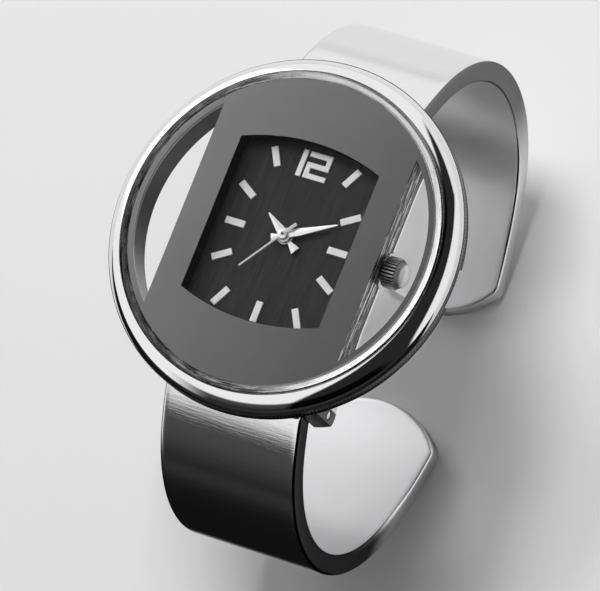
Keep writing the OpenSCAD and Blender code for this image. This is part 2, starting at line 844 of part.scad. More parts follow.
module crown_tube() {
    color(steel) place() difference() {
        rod_x(tube_d / 2, window_half_w + cavity_grow + 0.1, crown_x + knurl_l - 0.5 - air, stem_z);
        rod_x(stem_d / 2 + run_fit, 0, ring_r, stem_z);
    }
}

module crown_gasket() {
    color(rubber_tone) place() difference() {
        rod_x(tube_d / 2 + 0.3 - seat_fit, crown_x + 0.05, crown_x + 0.35, stem_z);
        rod_x(tube_d / 2 + run_fit, crown_x - cut, crown_x + cut, stem_z);
    }
}

module case_back() {
    color(brushed) place() {
        slab(tray_bottom - back_t, tray_bottom) barrel(cavity_grow + tray_wall);
        slab(tray_bottom, tray_bottom + rim_h) difference() {
            barrel(cavity_grow - seat_fit);
            barrel(cavity_grow - seat_fit - rim_w);
        }
    }
}

module back_gasket() {
    color(rubber_tone) place() slab(tray_bottom, tray_bottom + 0.23) difference() {
        barrel(cavity_grow + 0.63);
        barrel(cavity_grow + 0.32);
    }
}

module hinge_pin() {
    rod_x(pin_d / 2, -ear_x - ear_t, ear_x + ear_t, pin_z, pin_y);
}

// A torsion spring drawn as a plain sleeve with its two straight legs
module hinge_spring() {
    in_r = pin_d / 2 + run_fit;
    out_r = in_r + spring_wire;
    mid_z = pin_z + out_r - spring_wire / 2;
    tray_end = window_half_h + cavity_grow + tray_wall;
    leg_l = 2.8;
    difference() {
        union() {
            rod_x(out_r, -spring_l / 2, spring_l / 2, pin_z, pin_y);
            translate([spring_l / 2 - spring_wire, tray_end + air, mid_z - spring_wire / 2])
                cube([spring_wire, pin_y - tray_end - air, spring_wire]);
            translate([-spring_l / 2, pin_y, pin_z - out_r]) cube([spring_wire, leg_l, spring_wire]);
        }
        rod_x(in_r, -ring_r, ring_r, pin_z, pin_y);
    }
}

module upper_hinge_pin() {
    color(steel) place() hinge_pin();
}

module lower_hinge_pin() {
    color(steel) place() mirror([0, 1, 0]) hinge_pin();
}

module upper_spring() {
    color(brushed) place() hinge_spring();
}

module lower_spring() {
    color(brushed) place() mirror([0, 1, 0]) hinge_spring();
}

// The wing's cross-section, less a margin all round: x is the distance from the arc's centre, y
// runs across the wing
module wing_section(outer_r, margin) {
    low = wing_edge + margin;
    far = wing_t - low;
    top = wing_w - low;
    translate([outer_r - wing_t, -wing_w / 2]) polygon([
        for (c = [[far, top, 0], [low, top, 90], [low, low, 180], [far, low, 270]], a = [0, 30, 60, 90])
            [c[0], c[1]] + polar(wing_edge, c[2] + a)
    ]);
}

// A stretch of the wing along an arc about [cy, cz], between two angles from +Y towards +Z
module wing_arc(cy, cz, r, a0, a1, margin = 0) {
    translate([0, cy, cz]) rotate([90, 0, 90]) rotate([0, 0, a0])
        rotate_extrude(angle = a1 - a0) wing_section(r, margin);
}

module wing() {
    root_a = atan2(pin_z + swing_r - top_cz, pin_y + 0.2);
    end_a = -atan2(low_cz - end_z, end_y);
    difference() {
        union() {
            wing_arc(0, top_cz, top_r, top_join, root_a);
            // The middle arc is finer by a hair and runs on into both others, so that they join
            wing_arc(side_y, side_z, cuff_side_r, low_join - 0.3, top_join + 0.3, 0.004);
            wing_arc(0, low_cz, low_r, end_a, low_join);
            for (s = [-1, 1])
                rod_x(knuckle_r, s > 0 ? spring_l / 2 + air : -wing_w / 2 + wing_edge,
                      s > 0 ? wing_w / 2 - wing_edge : -spring_l / 2 - air, pin_z, pin_y);
        }
        rod_x(pin_d / 2 + run_fit, -wing_w, wing_w, pin_z, pin_y);
        difference() {
            translate([-wing_w, pin_y - 2 * swing_r, pin_z])
                cube([2 * wing_w, 2.6 * swing_r, 2 * swing_r]);
            rod_x(swing_r, -2 * wing_w, 2 * wing_w, pin_z, pin_y);
            translate([-2 * wing_w, pin_y + 0.6 * swing_r, pin_z - cut])
                cube([4 * wing_w, swing_r, 3 * swing_r]);
        }
        translate([-wing_w, -ring_r, foot_z - 2]) cube([2 * wing_w, 2 * ring_r, 2]);
        difference() {
            translate([-wing_w, -cut, foot_z - cut]) cube([2 * wing_w, end_y + end_r + cut, wing_t + 3]);
            translate([0, end_y + end_r, 0]) rod(end_r, foot_z - 2 * cut, foot_z + wing_t + 4);
        }
    }
}

module upper_wing() {
    color(silver) place() wing();
}

module lower_wing() {
    color(silver) place() mirror([0, 1, 0]) wing();
}

case_body();
bezel();
crystal();
mirror_print();
crystal_gasket();
dial_frame();
dial();
hour_markers();
hour_hand();
minute_hand();
second_hand();
movement_holder();
main_plate();
train_bridge();
bridge_screws();
center_wheel();
third_wheel();
second_wheel();
fifth_wheel();
rotor();
stator();
coil_core();
coil_winding();
minute_wheel();
hour_wheel();
circuit_board();
quartz_can();
battery();
battery_clamp();
stem();
setting_pinion();
setting_lever();
crown();
crown_tube();
crown_gasket();
case_back();
back_gasket();
upper_hinge_pin();
lower_hinge_pin();
upper_spring();
lower_spring();
upper_wing();
lower_wing();
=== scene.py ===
"""Looks of the cuff watch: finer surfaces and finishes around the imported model."""

import json
import math

import bmesh
import bpy
import numpy as np
from mathutils import Matrix, Vector


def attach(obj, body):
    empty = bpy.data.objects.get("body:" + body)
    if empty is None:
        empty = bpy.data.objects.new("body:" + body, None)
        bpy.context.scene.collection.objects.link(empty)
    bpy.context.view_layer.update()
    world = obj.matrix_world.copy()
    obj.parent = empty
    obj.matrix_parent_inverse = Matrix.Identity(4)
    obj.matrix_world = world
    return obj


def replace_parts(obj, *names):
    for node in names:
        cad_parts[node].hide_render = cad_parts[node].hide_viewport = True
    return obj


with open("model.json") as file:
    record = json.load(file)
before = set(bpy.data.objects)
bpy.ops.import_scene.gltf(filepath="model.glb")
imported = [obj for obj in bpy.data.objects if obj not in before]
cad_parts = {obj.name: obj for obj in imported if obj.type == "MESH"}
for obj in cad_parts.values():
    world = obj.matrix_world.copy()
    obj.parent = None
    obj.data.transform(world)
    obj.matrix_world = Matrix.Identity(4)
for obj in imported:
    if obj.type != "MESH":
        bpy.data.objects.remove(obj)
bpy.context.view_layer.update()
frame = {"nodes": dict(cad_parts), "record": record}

MM = 0.001
TAU = 2 * math.pi

# Sizes, in millimetres; heights are above the ground
CRYSTAL_Z = 45.6138  # the crystal's underside
CRYSTAL_T = 1.0
CRYSTAL_R = 18.28
BEZEL_TOP = CRYSTAL_Z + 0.2
BEZEL_H = 3.05
BEZEL_W = 1.95
BEZEL_ARC_R = 2.56
RING_R = 20.35
BAND_TILT = 19  # degrees from upright at which the bezel's arc meets the ribbed band
BAND_TOP = CRYSTAL_Z - 1.45
BAND_H = 1.35
BAND_R = 20.22
FLANGE_Z = CRYSTAL_Z - 4.15  # the ring's back
NOTCH_W = 4.5  # the band's cut beside the crown
BAR_HALF = 11.8
DIAL_Z = CRYSTAL_Z - 2.26
FRAME_TOP = CRYSTAL_Z - 0.12
WINDOW_W = 8.49  # half width of the window
WINDOW_H = 10.46  # half height at its middle
WINDOW_SAG = 1.55
WINDOW_R = (WINDOW_W ** 2 + WINDOW_SAG ** 2) / (2 * WINDOW_SAG)
MARKER_T = 0.2
MARKER_EDGE = 0.07  # rounding of a marker's upper edge
HAND_Z = {"hour": DIAL_Z + 0.46, "minute": DIAL_Z + 0.86, "second": DIAL_Z + 1.26}
HAND_T = 0.12
SHOWN_S = 636  # seconds past ten o'clock
STEM_Z = CRYSTAL_Z - 3.85
CROWN_X = BAR_HALF + 1.55  # where the crown's dome starts
PIN_Y = 16.1979
PIN_Z = CRYSTAL_Z - 7.55
PIN_R = 0.5
EAR_OUT = 9.97
SWING_R = 3.28
KNUCKLE_R = 1.4
SPRING_L = 7.0
WIRE_R = 0.2
WING_T = 2.4
WING_W = 16.7
WING_EDGE = 0.38
END_Y = 5.8
END_R = 10.45
SIDE_Y, SIDE_Z, SIDE_R = 10.0, CRYSTAL_Z - 23.35, 20.05
TOP_Z, TOP_R = CRYSTAL_Z - 35.7043, 35.9443
LOW_Z, LOW_R = CRYSTAL_Z - 8.5401, 37.9199


def grid_faces(rows, cols, close_rows=False, close_cols=False):
    """Quads of a grid of points; a closed grid joins its last row or column to its first."""
    i = np.arange(rows if close_rows else rows - 1)
    j = np.arange(cols if close_cols else cols - 1)
    i, j = np.meshgrid(i, j, indexing="ij")
    far_i, far_j = (i + 1) % rows, (j + 1) % cols
    return np.stack([i * cols + j, i * cols + far_j, far_i * cols + far_j, far_i * cols + j],
                    axis=-1).reshape(-1, 4).tolist()


def skin(loops, first="face", last="face"):
    """A closed skin over a stack of closed loops, given as loops x points x 3.

    An end is closed with one face, with a fan to the loop's middle, or with a strip of quads
    between the loop's two halves.
    """
    rows, cols = loops.shape[:2]
    verts = loops.reshape(-1, 3)
    faces = grid_faces(rows, cols, close_cols=True)
    for how, row in ((first, 0), (last, rows - 1)):
        ring = row * cols + np.arange(cols)
        if how == "face":
            faces.append(ring.tolist())
        elif how == "fan":
            middle = np.full(cols, len(verts))
            faces += np.stack([ring, np.roll(ring, -1), middle], axis=-1).tolist()
            verts = np.concatenate([verts, loops[row].mean(axis=0)[None]])
        else:
            half = cols // 2
            near = ring[:half]
            far = ring[::-1][:half]
            faces += np.stack([near[:-1], near[1:], far[1:], far[:-1]], axis=-1).tolist()
    return verts, faces


def along_z(x, y, h):
    return np.stack([x, y, h], axis=-1)


def along_x(y0, z0):
    return lambda x, y, h: np.stack([h, x + y0, y + z0], axis=-1)


def lathe(profile, segments, place):
    """A loop round an axis for each (radius, height) point of a profile; place maps (x, y, h)."""
    profile = np.asarray(profile, dtype=float)
    turn = np.linspace(0, TAU, segments, endpoint=False)
    x = np.outer(profile[:, 0], np.cos(turn))
    y = np.outer(profile[:, 0], np.sin(turn))
    return place(x, y, np.broadcast_to(profile[:, 1:], x.shape))


def tube_skin(profile, segments, place):
    """The skin of a closed profile turned through 360 degrees about an axis."""
    rings = lathe(profile, segments, place).swapaxes(0, 1)
    return rings.reshape(-1, 3), grid_faces(segments, len(profile), True, True)


def together(shells):
    """Several shells of points and faces as one."""
    verts, faces, start = [], [], 0
    for v, f in shells:
        verts.append(v)
        faces += [[k + start for k in face] for face in f]
        start += len(v)
    return np.concatenate(verts), faces


def mesh_from(name, shell, material, body, smooth=True, edge=None, parts=None):
    """Makes a piece from a shell in millimetres, or a part of the stage where it has no body.

    edge is the angle past which shading breaks, and parts gives further materials with each
    face's material number.
    """
    verts, faces = shell
    mesh = bpy.data.meshes.new(name)
    mesh.from_pydata((verts * MM).tolist(), [], faces)
    if body is not None:
        bm = bmesh.new()
        bm.from_mesh(mesh)
        bmesh.ops.recalc_face_normals(bm, faces=bm.faces)
        if edge is not None:
            limit = math.radians(edge)
            for e in bm.edges:
                e.smooth = e.calc_face_angle(0.0) < limit
        bm.to_mesh(mesh)
        bm.free()
    mesh.polygons.foreach_set("use_smooth", [smooth] * len(mesh.polygons))
    mesh.materials.append(material)
    if parts is not None:
        others, index = parts
        for other in others:
            mesh.materials.append(other)
        mesh.polygons.foreach_set("material_index", np.asarray(index, dtype=np.int32))
    obj = bpy.data.objects.new(name, mesh)
    bpy.context.scene.collection.objects.link(obj)
    if body is None:
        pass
    else:
        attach(obj, body)
    return obj


def arc(cx, cy, r, a0, a1, n):
    """n points on a circle about (cx, cy), from the angle a0 to a1 in degrees."""
    a = np.radians(np.linspace(a0, a1, n))
    return np.stack([cx + r * np.cos(a), cy + r * np.sin(a)], axis=-1)


def grow(outline, by):
    """A closed anticlockwise outline moved outwards by a distance, each corner along its mitre."""
    side = np.roll(outline, -1, axis=0) - outline
    side /= np.linalg.norm(side, axis=1)[:, None]
    out = np.stack([side[:, 1], -side[:, 0]], axis=-1)
    before = np.roll(out, 1, axis=0)
    mitre = (out + before) / (1 + np.sum(out * before, axis=1))[:, None]
    return outline + by * mitre


def at_height(flat, z):
    """Flat points lifted to a height."""
    return np.column_stack([flat, np.full(len(flat), z)])


def marker_slab(outline):
    """A marker on the dial: its upper edge is rounded by insets e(1 - cos p) at heights e sin p."""
    p = np.radians(np.linspace(0, 90, 4))
    top = DIAL_Z + MARKER_T - MARKER_EDGE
    insets = np.concatenate([[0.0], MARKER_EDGE * (1 - np.cos(p))])
    heights = np.concatenate([[DIAL_Z], top + MARKER_EDGE * np.sin(p)])
    return skin(np.stack([at_height(grow(outline, -i), z) for i, z in zip(insets, heights)]))


def new_material(name):
    """A material with one Principled shader; gives it with its tree and the shader."""
    mat = bpy.data.materials.new(name)
    mat.use_nodes = True
    tree = mat.node_tree
    tree.nodes.clear()
    out = tree.nodes.new("ShaderNodeOutputMaterial")
    bsdf = tree.nodes.new("ShaderNodeBsdfPrincipled")
    tree.links.new(bsdf.outputs["BSDF"], out.inputs["Surface"])
    return mat, tree, bsdf


def feed(tree, socket, value):
    """Links a node's output to a socket, or sets a plain value on it."""
    if isinstance(value, bpy.types.NodeSocket):
        tree.links.new(value, socket)
    else:
        socket.default_value = value


def node(tree, kind, values=None, **props):
    """Adds a node with its settings, and feeds its sockets."""
    n = tree.nodes.new(kind)
    for k, v in props.items():
        setattr(n, k, v)
    for k, v in (values or {}).items():
        feed(tree, n.inputs[k], v)
    return n


def math_node(tree, op, a, b=None):
    values = {0: a} if b is None else {0: a, 1: b}
    return node(tree, "ShaderNodeMath", values, operation=op).outputs[0]


def times(tree, first, *others):
    """The product of two or more values."""
    for other in others:
        first = math_node(tree, "MULTIPLY", first, other)
    return first


def plus(tree, a, b):
    return math_node(tree, "ADD", a, b)


def minus(tree, a, b):
    return math_node(tree, "SUBTRACT", a, b)


def either(tree, a, b):
    """The greater of two masks."""
    return math_node(tree, "MAXIMUM", a, b)


def below(tree, value, limit):
    """1 where a length is under a limit in millimetres, else 0."""
    return math_node(tree, "LESS_THAN", value, limit * MM)


def past(tree, value, limit):
    """1 where a length is over a limit in millimetres, else 0."""
    return math_node(tree, "GREATER_THAN", value, limit * MM)


def vector_math(tree, op, a, b=None):
    values = {0: a} if b is None else {0: a, 1: b}
    n = node(tree, "ShaderNodeVectorMath", values, operation=op)
    return n.outputs["Value" if op in ("LENGTH", "DISTANCE", "DOT_PRODUCT") else "Vector"]


def axes(tree, vec):
    """The X, Y and Z of a vector."""
    xyz = node(tree, "ShaderNodeSeparateXYZ", {0: vec})
    return [xyz.outputs[k] for k in "XYZ"]


def noise(tree, vec, scale, detail, **more):
    """Soft random spots, from 0 to 1."""
    values = {"Vector": vec, "Scale": scale, "Detail": detail, **more}
    return node(tree, "ShaderNodeTexNoise", values).outputs["Fac"]


def slope(tree, value, start, end):
    """A straight slope from 0 at start to 1 at end."""
    values = {"Value": value, "From Min": start, "From Max": end}
    return node(tree, "ShaderNodeMapRange", values).outputs[0]


def span(tree, value, start, end, low=0.0, high=1.0):
    """A soft step: low up to start, high from end on."""
    values = {"Value": value, "From Min": start, "From Max": end, "To Min": low, "To Max": high}
    return node(tree, "ShaderNodeMapRange", values, interpolation_type="SMOOTHSTEP").outputs[0]


def fade(tree, value, start, end):
    """A soft step from 0 to 1 between two places in millimetres."""
    return span(tree, value, start * MM, end * MM)


def mix_color(tree, fac, a, b):
    """The colour a where fac is 0 and b where it is 1."""
    n = node(tree, "ShaderNodeMix", {"Factor": fac}, data_type="RGBA")
    for k, v in ((6, a), (7, b)):
        feed(tree, n.inputs[k], v if isinstance(v, bpy.types.NodeSocket) else (*v, 1.0))
    return n.outputs[2]


def ramp(tree, fac, stops):
    """A colour that runs through stops of (place, colour)."""
    n = node(tree, "ShaderNodeValToRGB", {"Fac": fac})
    r = n.color_ramp
    while len(r.elements) < len(stops):
        r.elements.new(0.5)
    for e, (place, color) in zip(r.elements, stops):
        e.position = place
        e.color = (*color, 1.0)
    return n.outputs["Color"]


def make_group(name, inputs, outputs, build):
    """A shader node group with named inputs and outputs, filled by build(tree, in, out)."""
    tree = bpy.data.node_groups.new(name, "ShaderNodeTree")
    for n, kind, default in inputs:
        s = tree.interface.new_socket(n, in_out="INPUT", socket_type=kind)
        if default is not None:
            s.default_value = default
    for n in outputs:
        tree.interface.new_socket(n, in_out="OUTPUT", socket_type="NodeSocketFloat")
    gin = tree.nodes.new("NodeGroupInput")
    gout = tree.nodes.new("NodeGroupOutput")
    build(tree, gin.outputs, gout.inputs)
    return tree


def grain_build(tree, gin, gout):
    """Drawn grain: noise stretched along one axis, as fine streaks."""
    vec = vector_math(tree, "MULTIPLY", gin["Vector"], gin["Stretch"])
    feed(tree, gout["Grain"], minus(tree, noise(tree, vec, 1.0, 4.0, Roughness=0.65), 0.5))


GRAIN = make_group("drawn_grain", [
    ("Vector", "NodeSocketVector", None), ("Stretch", "NodeSocketVector", (1.0, 1.0, 1.0)),
], ["Grain"], grain_build)


def wear_build(tree, gin, gout):
    """Handling marks: soft smears and sparse hair scratches, as a roughness offset and a height."""
    vec = gin["Vector"]
    smear = times(tree, minus(tree, noise(tree, vec, 260.0, 3.0), 0.5), gin["Smears"])
    fine = noise(tree, vec, 2600.0, 2.0)
    hair = noise(tree, vector_math(tree, "MULTIPLY", vec, (900.0, 5200.0, 1400.0)), 1.0, 1.0)
    mark = times(tree, slope(tree, hair, 0.66, 0.74), gin["Scratches"])
    feed(tree, gout["Roughness"], plus(tree, smear, times(tree, mark, 0.25)))
    feed(tree, gout["Height"], plus(tree, times(tree, fine, 0.2), mark))


WEAR = make_group("handling_wear", [
    ("Vector", "NodeSocketVector", None), ("Smears", "NodeSocketFloat", 0.1),
    ("Scratches", "NodeSocketFloat", 0.1),
], ["Roughness", "Height"], wear_build)


def grain_of(tree, vec, stretch):
    return node(tree, "ShaderNodeGroup", {"Vector": vec, "Stretch": stretch},
                node_tree=GRAIN).outputs[0]


def wear_of(tree, vec, smears, scratches):
    """The handling marks' roughness offset and height."""
    values = {"Vector": vec, "Smears": smears, "Scratches": scratches}
    n = node(tree, "ShaderNodeGroup", values, node_tree=WEAR)
    return n.outputs["Roughness"], n.outputs["Height"]


def object_vector(tree):
    return node(tree, "ShaderNodeTexCoord").outputs["Object"]


def from_z(tree, vec):
    """A place's part across Z, and its distance from the axis through the dial's middle."""
    flat = vector_math(tree, "MULTIPLY", vec, (1.0, 1.0, 0.0))
    return flat, vector_math(tree, "LENGTH", flat)


def from_stem(tree, vec):
    """The distance from the stem's axis."""
    across = vector_math(tree, "MULTIPLY", vec, (0.0, 1.0, 1.0))
    return vector_math(tree, "DISTANCE", across, (0.0, 0.0, STEM_Z * MM))


def set_color(tree, bsdf, color):
    tree.links.new(color, bsdf.inputs["Base Color"])


def set_rough(tree, bsdf, base, offset, low=0.02, high=1.0):
    """Roughness: a base with an offset that changes over the surface, kept between two limits."""
    values = {"Value": plus(tree, offset, base), "Min": low, "Max": high}
    tree.links.new(node(tree, "ShaderNodeClamp", values).outputs[0], bsdf.inputs["Roughness"])


def set_bump(tree, bsdf, height, strength=1.0, distance=0.02 * MM):
    values = {"Height": height, "Strength": strength, "Distance": distance}
    tree.links.new(node(tree, "ShaderNodeBump", values).outputs["Normal"], bsdf.inputs["Normal"])


def metal(name, color, rough, smears=0.06, scratches=0.05, bump=0.02, stretch=None, grain=0.0,
          grain_bump=0.0, tint=0.04, metallic=1.0, glancing=1.0):
    """A steel or plated finish: polished where grain is 0, brushed along an axis where it is not;
    glancing is its brightness at flat angles."""
    mat, tree, bsdf = new_material(name)
    vec = object_vector(tree)
    offset, height = wear_of(tree, vec, smears, scratches)
    height = times(tree, height, bump)
    shade = offset
    if stretch is not None:
        shade = grain_of(tree, vec, stretch)
        offset = plus(tree, offset, times(tree, shade, grain))
        height = plus(tree, height, times(tree, shade, grain_bump))
    low = tuple(c * (1 - tint) for c in color)
    high = tuple(min(1.0, c * (1 + tint)) for c in color)
    set_color(tree, bsdf, ramp(tree, slope(tree, shade, -0.4, 0.4), [(0.0, low), (1.0, high)]))
    bsdf.inputs["Metallic"].default_value = metallic
    bsdf.inputs["Specular Tint"].default_value = (glancing, glancing, glancing, 1.0)
    set_rough(tree, bsdf, rough, offset)
    set_bump(tree, bsdf, height)
    return mat


def plastic(name, color, rough, speck=0.06, coat=0.0, gloss=0.5):
    """A moulded or rubber finish with a fine stippled skin."""
    mat, tree, bsdf = new_material(name)
    vec = object_vector(tree)
    fine, wide = noise(tree, vec, 9000.0, 3.0), noise(tree, vec, 600.0, 2.0)
    low = tuple(c * (1 - speck) for c in color)
    high = tuple(min(1.0, c * (1 + speck)) for c in color)
    set_color(tree, bsdf, ramp(tree, wide, [(0.3, low), (0.7, high)]))
    set_rough(tree, bsdf, rough, times(tree, minus(tree, fine, 0.5), 0.15))
    set_bump(tree, bsdf, fine, 0.3, 0.03 * MM)
    bsdf.inputs["Specular IOR Level"].default_value = gloss
    bsdf.inputs["Coat Weight"].default_value = coat
    return mat


polished = metal("polished_steel", (0.86, 0.86, 0.87), 0.045, smears=0.05, scratches=0.06,
                 bump=0.25)
wing_out = metal("wing_polish", (0.84, 0.84, 0.85), 0.07, smears=0.06, scratches=0.12, bump=0.3,
                 stretch=(260.0, 3200.0, 3200.0), grain=0.08, grain_bump=0.42, tint=0.03)
back_metal = metal("brushed_back", (0.72, 0.72, 0.73), 0.24, stretch=(14000.0, 500.0, 14000.0),
                   grain=0.25, grain_bump=1.0, tint=0.08)
dark_metal = metal("soft_iron_plates", (0.34, 0.34, 0.36), 0.35,
                   stretch=(6000.0, 900.0, 6000.0), grain=0.2, grain_bump=0.6)
spring_metal = metal("drawn_steel", (0.60, 0.60, 0.62), 0.25, stretch=(900.0, 9000.0, 9000.0),
                     grain=0.2, grain_bump=0.5)
brass = metal("plated_brass", (0.78, 0.63, 0.34), 0.28, stretch=(9000.0, 600.0, 9000.0),
              grain=0.2, grain_bump=0.6)
nickel = metal("nickel_cell", (0.72, 0.72, 0.74), 0.22, stretch=(1200.0, 1200.0, 9000.0),
               grain=0.15, grain_bump=0.3)
copper = metal("wound_copper", (0.72, 0.34, 0.17), 0.32, stretch=(24000.0, 60.0, 60.0),
               grain=0.3, grain_bump=3.0, tint=0.25)
silver = metal("silver_applied", (0.90, 0.90, 0.90), 0.34, smears=0.05, scratches=0.0, bump=0.3,
               stretch=(5000.0, 1200.0, 5000.0), grain=0.3, grain_bump=1.0, tint=0.10,
               metallic=0.55)
hand_metal = metal("hand_silver", (0.92, 0.92, 0.92), 0.25, smears=0.05, scratches=0.0, bump=0.2,
                   stretch=(4000.0, 4000.0, 4000.0), grain=0.12, grain_bump=0.2, tint=0.03,
                   metallic=0.7)
black = plastic("black_moulding", (0.003, 0.003, 0.0032), 0.7, gloss=0.12)
white = plastic("white_moulding", (0.82, 0.82, 0.80), 0.42)
rubber = plastic("moulded_rubber", (0.025, 0.025, 0.026), 0.7)
board = plastic("solder_mask", (0.03, 0.16, 0.08), 0.3, speck=0.25, coat=0.3)
wing_in = metal("wing_satin", (0.72, 0.72, 0.73), 0.36, smears=0.10, scratches=0.03, bump=0.2,
                stretch=(700.0, 5000.0, 5000.0), grain=0.12, grain_bump=0.15, tint=0.03)
# The ribbed rim's near-black grey is painted shade: it stands for shade in its grooves and dark
# reflections.
rim_dark = metal("dark_ribbed_rim", (0.07, 0.07, 0.073), 0.30, smears=0.1, scratches=0.05,
                 bump=0.2, tint=0.3)
wing_rim = metal("wing_rim", (0.88, 0.88, 0.89), 0.12, smears=0.08, scratches=0.10, bump=0.3,
                 tint=0.1, glancing=0.45)


def paint_shade_by_height(mat, start, end, grey, side):
    """Paints shade into a finish between two heights, on the upper wing (side 1) or the lower (side
    -1).
    """
    tree = mat.node_tree
    bsdf = next(n for n in tree.nodes if n.type == "BSDF_PRINCIPLED")
    _, y, z = axes(tree, object_vector(tree))
    amount = times(tree, fade(tree, z, start, end), fade(tree, y, -2 * side, 2 * side))
    plain = bsdf.inputs["Base Color"].links[0].from_socket
    set_color(tree, bsdf, mix_color(tree, amount, plain, (grey, grey, grey)))


# Painted dark reflections: the wings' cut faces turn dark grey with height, the lower wing's near
# black.
paint_shade_by_height(wing_rim, 6.0, 10.0, 0.06, side=-1)
paint_shade_by_height(wing_rim, 7.0, 18.0, 0.21, side=1)
# Painted shade: the upper wing's inner side darkens toward its top, under the ring.
paint_shade_by_height(wing_in, 25.0, 41.0, 0.34, side=1)


def case_material():
    """The case: satin steel. The bar's two sides show coarse drawn streaks over a painted shade
    line and a painted highlight on the lower edge, the ring's inner wall goes from painted shade to
    painted light along X, the crown's recess has painted shade and the hinge ears a painted dark
    reflection."""
    mat, tree, bsdf = new_material("case_finish")
    vec = object_vector(tree)
    x, _, z = axes(tree, vec)
    wide = math_node(tree, "ABSOLUTE", x)
    _, radius = from_z(tree, vec)
    streak = grain_of(tree, vec, (300.0, 260.0, 5600.0))
    fine = grain_of(tree, vec, (2500.0, 420.0, 20000.0))
    both = plus(tree, streak, times(tree, fine, 0.5))

    bar_end, highlight_top, shade_top = 17.1, FLANGE_Z + 0.70, FLANGE_Z + 1.05
    off_side = math_node(tree, "ABSOLUTE", minus(tree, wide, BAR_HALF * MM))
    on_side = times(tree, below(tree, off_side, 0.05), below(tree, radius, bar_end))
    side = ramp(tree, plus(tree, both, 0.5), [
        (0.44, (0.01, 0.01, 0.01)), (0.50, (0.07, 0.07, 0.072)), (0.56, (0.20, 0.20, 0.205)),
        (0.61, (0.90, 0.90, 0.90))])
    # Painted shade: a near-black line across the bar's side just above its lower edge.
    side = mix_color(tree, fade(tree, z, shade_top + 0.10, shade_top), side, (0.02, 0.02, 0.02))
    # Painted highlight: the bar side's lower edge is pure white.
    side = mix_color(tree, fade(tree, z, highlight_top + 0.05, highlight_top), side, (1.0, 1.0, 1.0))

    ear_x = 8.4
    plain = ramp(tree, plus(tree, fine, 0.5), [
        (0.3, (0.62, 0.62, 0.63)), (0.7, (0.74, 0.74, 0.75))])
    # Painted dark reflection: the hinge ears below the flange are near black.
    ear_dark_reflection = times(tree, fade(tree, z, FLANGE_Z - 0.1, FLANGE_Z - 0.3), past(tree, wide, ear_x))
    plain = mix_color(tree, ear_dark_reflection, plain, (0.08, 0.08, 0.082))

    seat_low, seat_top, wall_in, wall_out = CRYSTAL_Z - 0.9, CRYSTAL_Z - 0.55, 16.7, 18.5
    seat = times(tree, fade(tree, z, seat_low, seat_low + 0.1),
                 fade(tree, z, seat_top, seat_top - 0.1))
    wall = times(tree, fade(tree, radius, wall_in, wall_in + 0.2),
                 fade(tree, radius, wall_out, wall_out - 0.1), minus(tree, 1.0, seat))
    # Painted light and shade: the ring's inner wall is dark grey on the -X side and silver on the
    # crown's side.
    wall_light_and_shade = ramp(tree, fade(tree, x, 0.0, 6.0), [
        (0.0, (0.13, 0.13, 0.133)), (1.0, (0.90, 0.90, 0.91))])
    plain = mix_color(tree, wall, plain, wall_light_and_shade)

    recess_r, recess_in, recess_out = 2.13, BAR_HALF - 0.7, BAR_HALF + 0.06
    # Painted shade: the hollow round the crown's stem in the bar is near black.
    recess = times(tree, below(tree, from_stem(tree, vec), recess_r), past(tree, x, recess_in),
                   below(tree, x, recess_out))
    color = mix_color(tree, on_side, plain, side)
    set_color(tree, bsdf, mix_color(tree, recess, color, (0.03, 0.03, 0.031)))
    bsdf.inputs["Metallic"].default_value = 1.0
    offset = plus(tree, times(tree, fine, 0.25), times(tree, on_side, streak, 0.4))
    set_rough(tree, bsdf, 0.22, offset, 0.06, 0.6)
    set_bump(tree, bsdf, times(tree, both, plus(tree, 0.15, times(tree, on_side, 1.2))))
    return mat


def seat_material():
    """The plated seat under the crystal's rim: streaks that run round it, with painted light
    (silver) on the crown's side and painted shade (dark) on the other."""
    mat, tree, bsdf = new_material("crystal_seat")
    flat, radius = from_z(tree, object_vector(tree))
    x, y, _ = axes(tree, vector_math(tree, "NORMALIZE", flat))
    ring = node(tree, "ShaderNodeCombineXYZ", {"X": x, "Y": y, "Z": radius}).outputs[0]
    streak = grain_of(tree, ring, (7.0, 7.0, 5200.0))
    lit_tone = ramp(tree, plus(tree, streak, 0.5), [
        (0.36, (0.58, 0.58, 0.58)), (0.50, (0.72, 0.72, 0.725)), (0.62, (0.79, 0.79, 0.80))])
    shaded_tone = ramp(tree, plus(tree, streak, 0.5), [
        (0.40, (0.02, 0.02, 0.02)), (0.50, (0.09, 0.09, 0.09)), (0.60, (0.34, 0.34, 0.345))])
    # Painted light and shade: this direction sets which side of the seat is lit.
    toward = vector_math(tree, "DOT_PRODUCT", flat, (0.92, 0.38, 0.0))
    lit = fade(tree, toward, -5.0, 7.0)
    set_color(tree, bsdf, mix_color(tree, lit, shaded_tone, lit_tone))
    bsdf.inputs["Metallic"].default_value = 1.0
    set_rough(tree, bsdf, 0.26, times(tree, streak, 0.3))
    set_bump(tree, bsdf, streak, 0.2)
    return mat


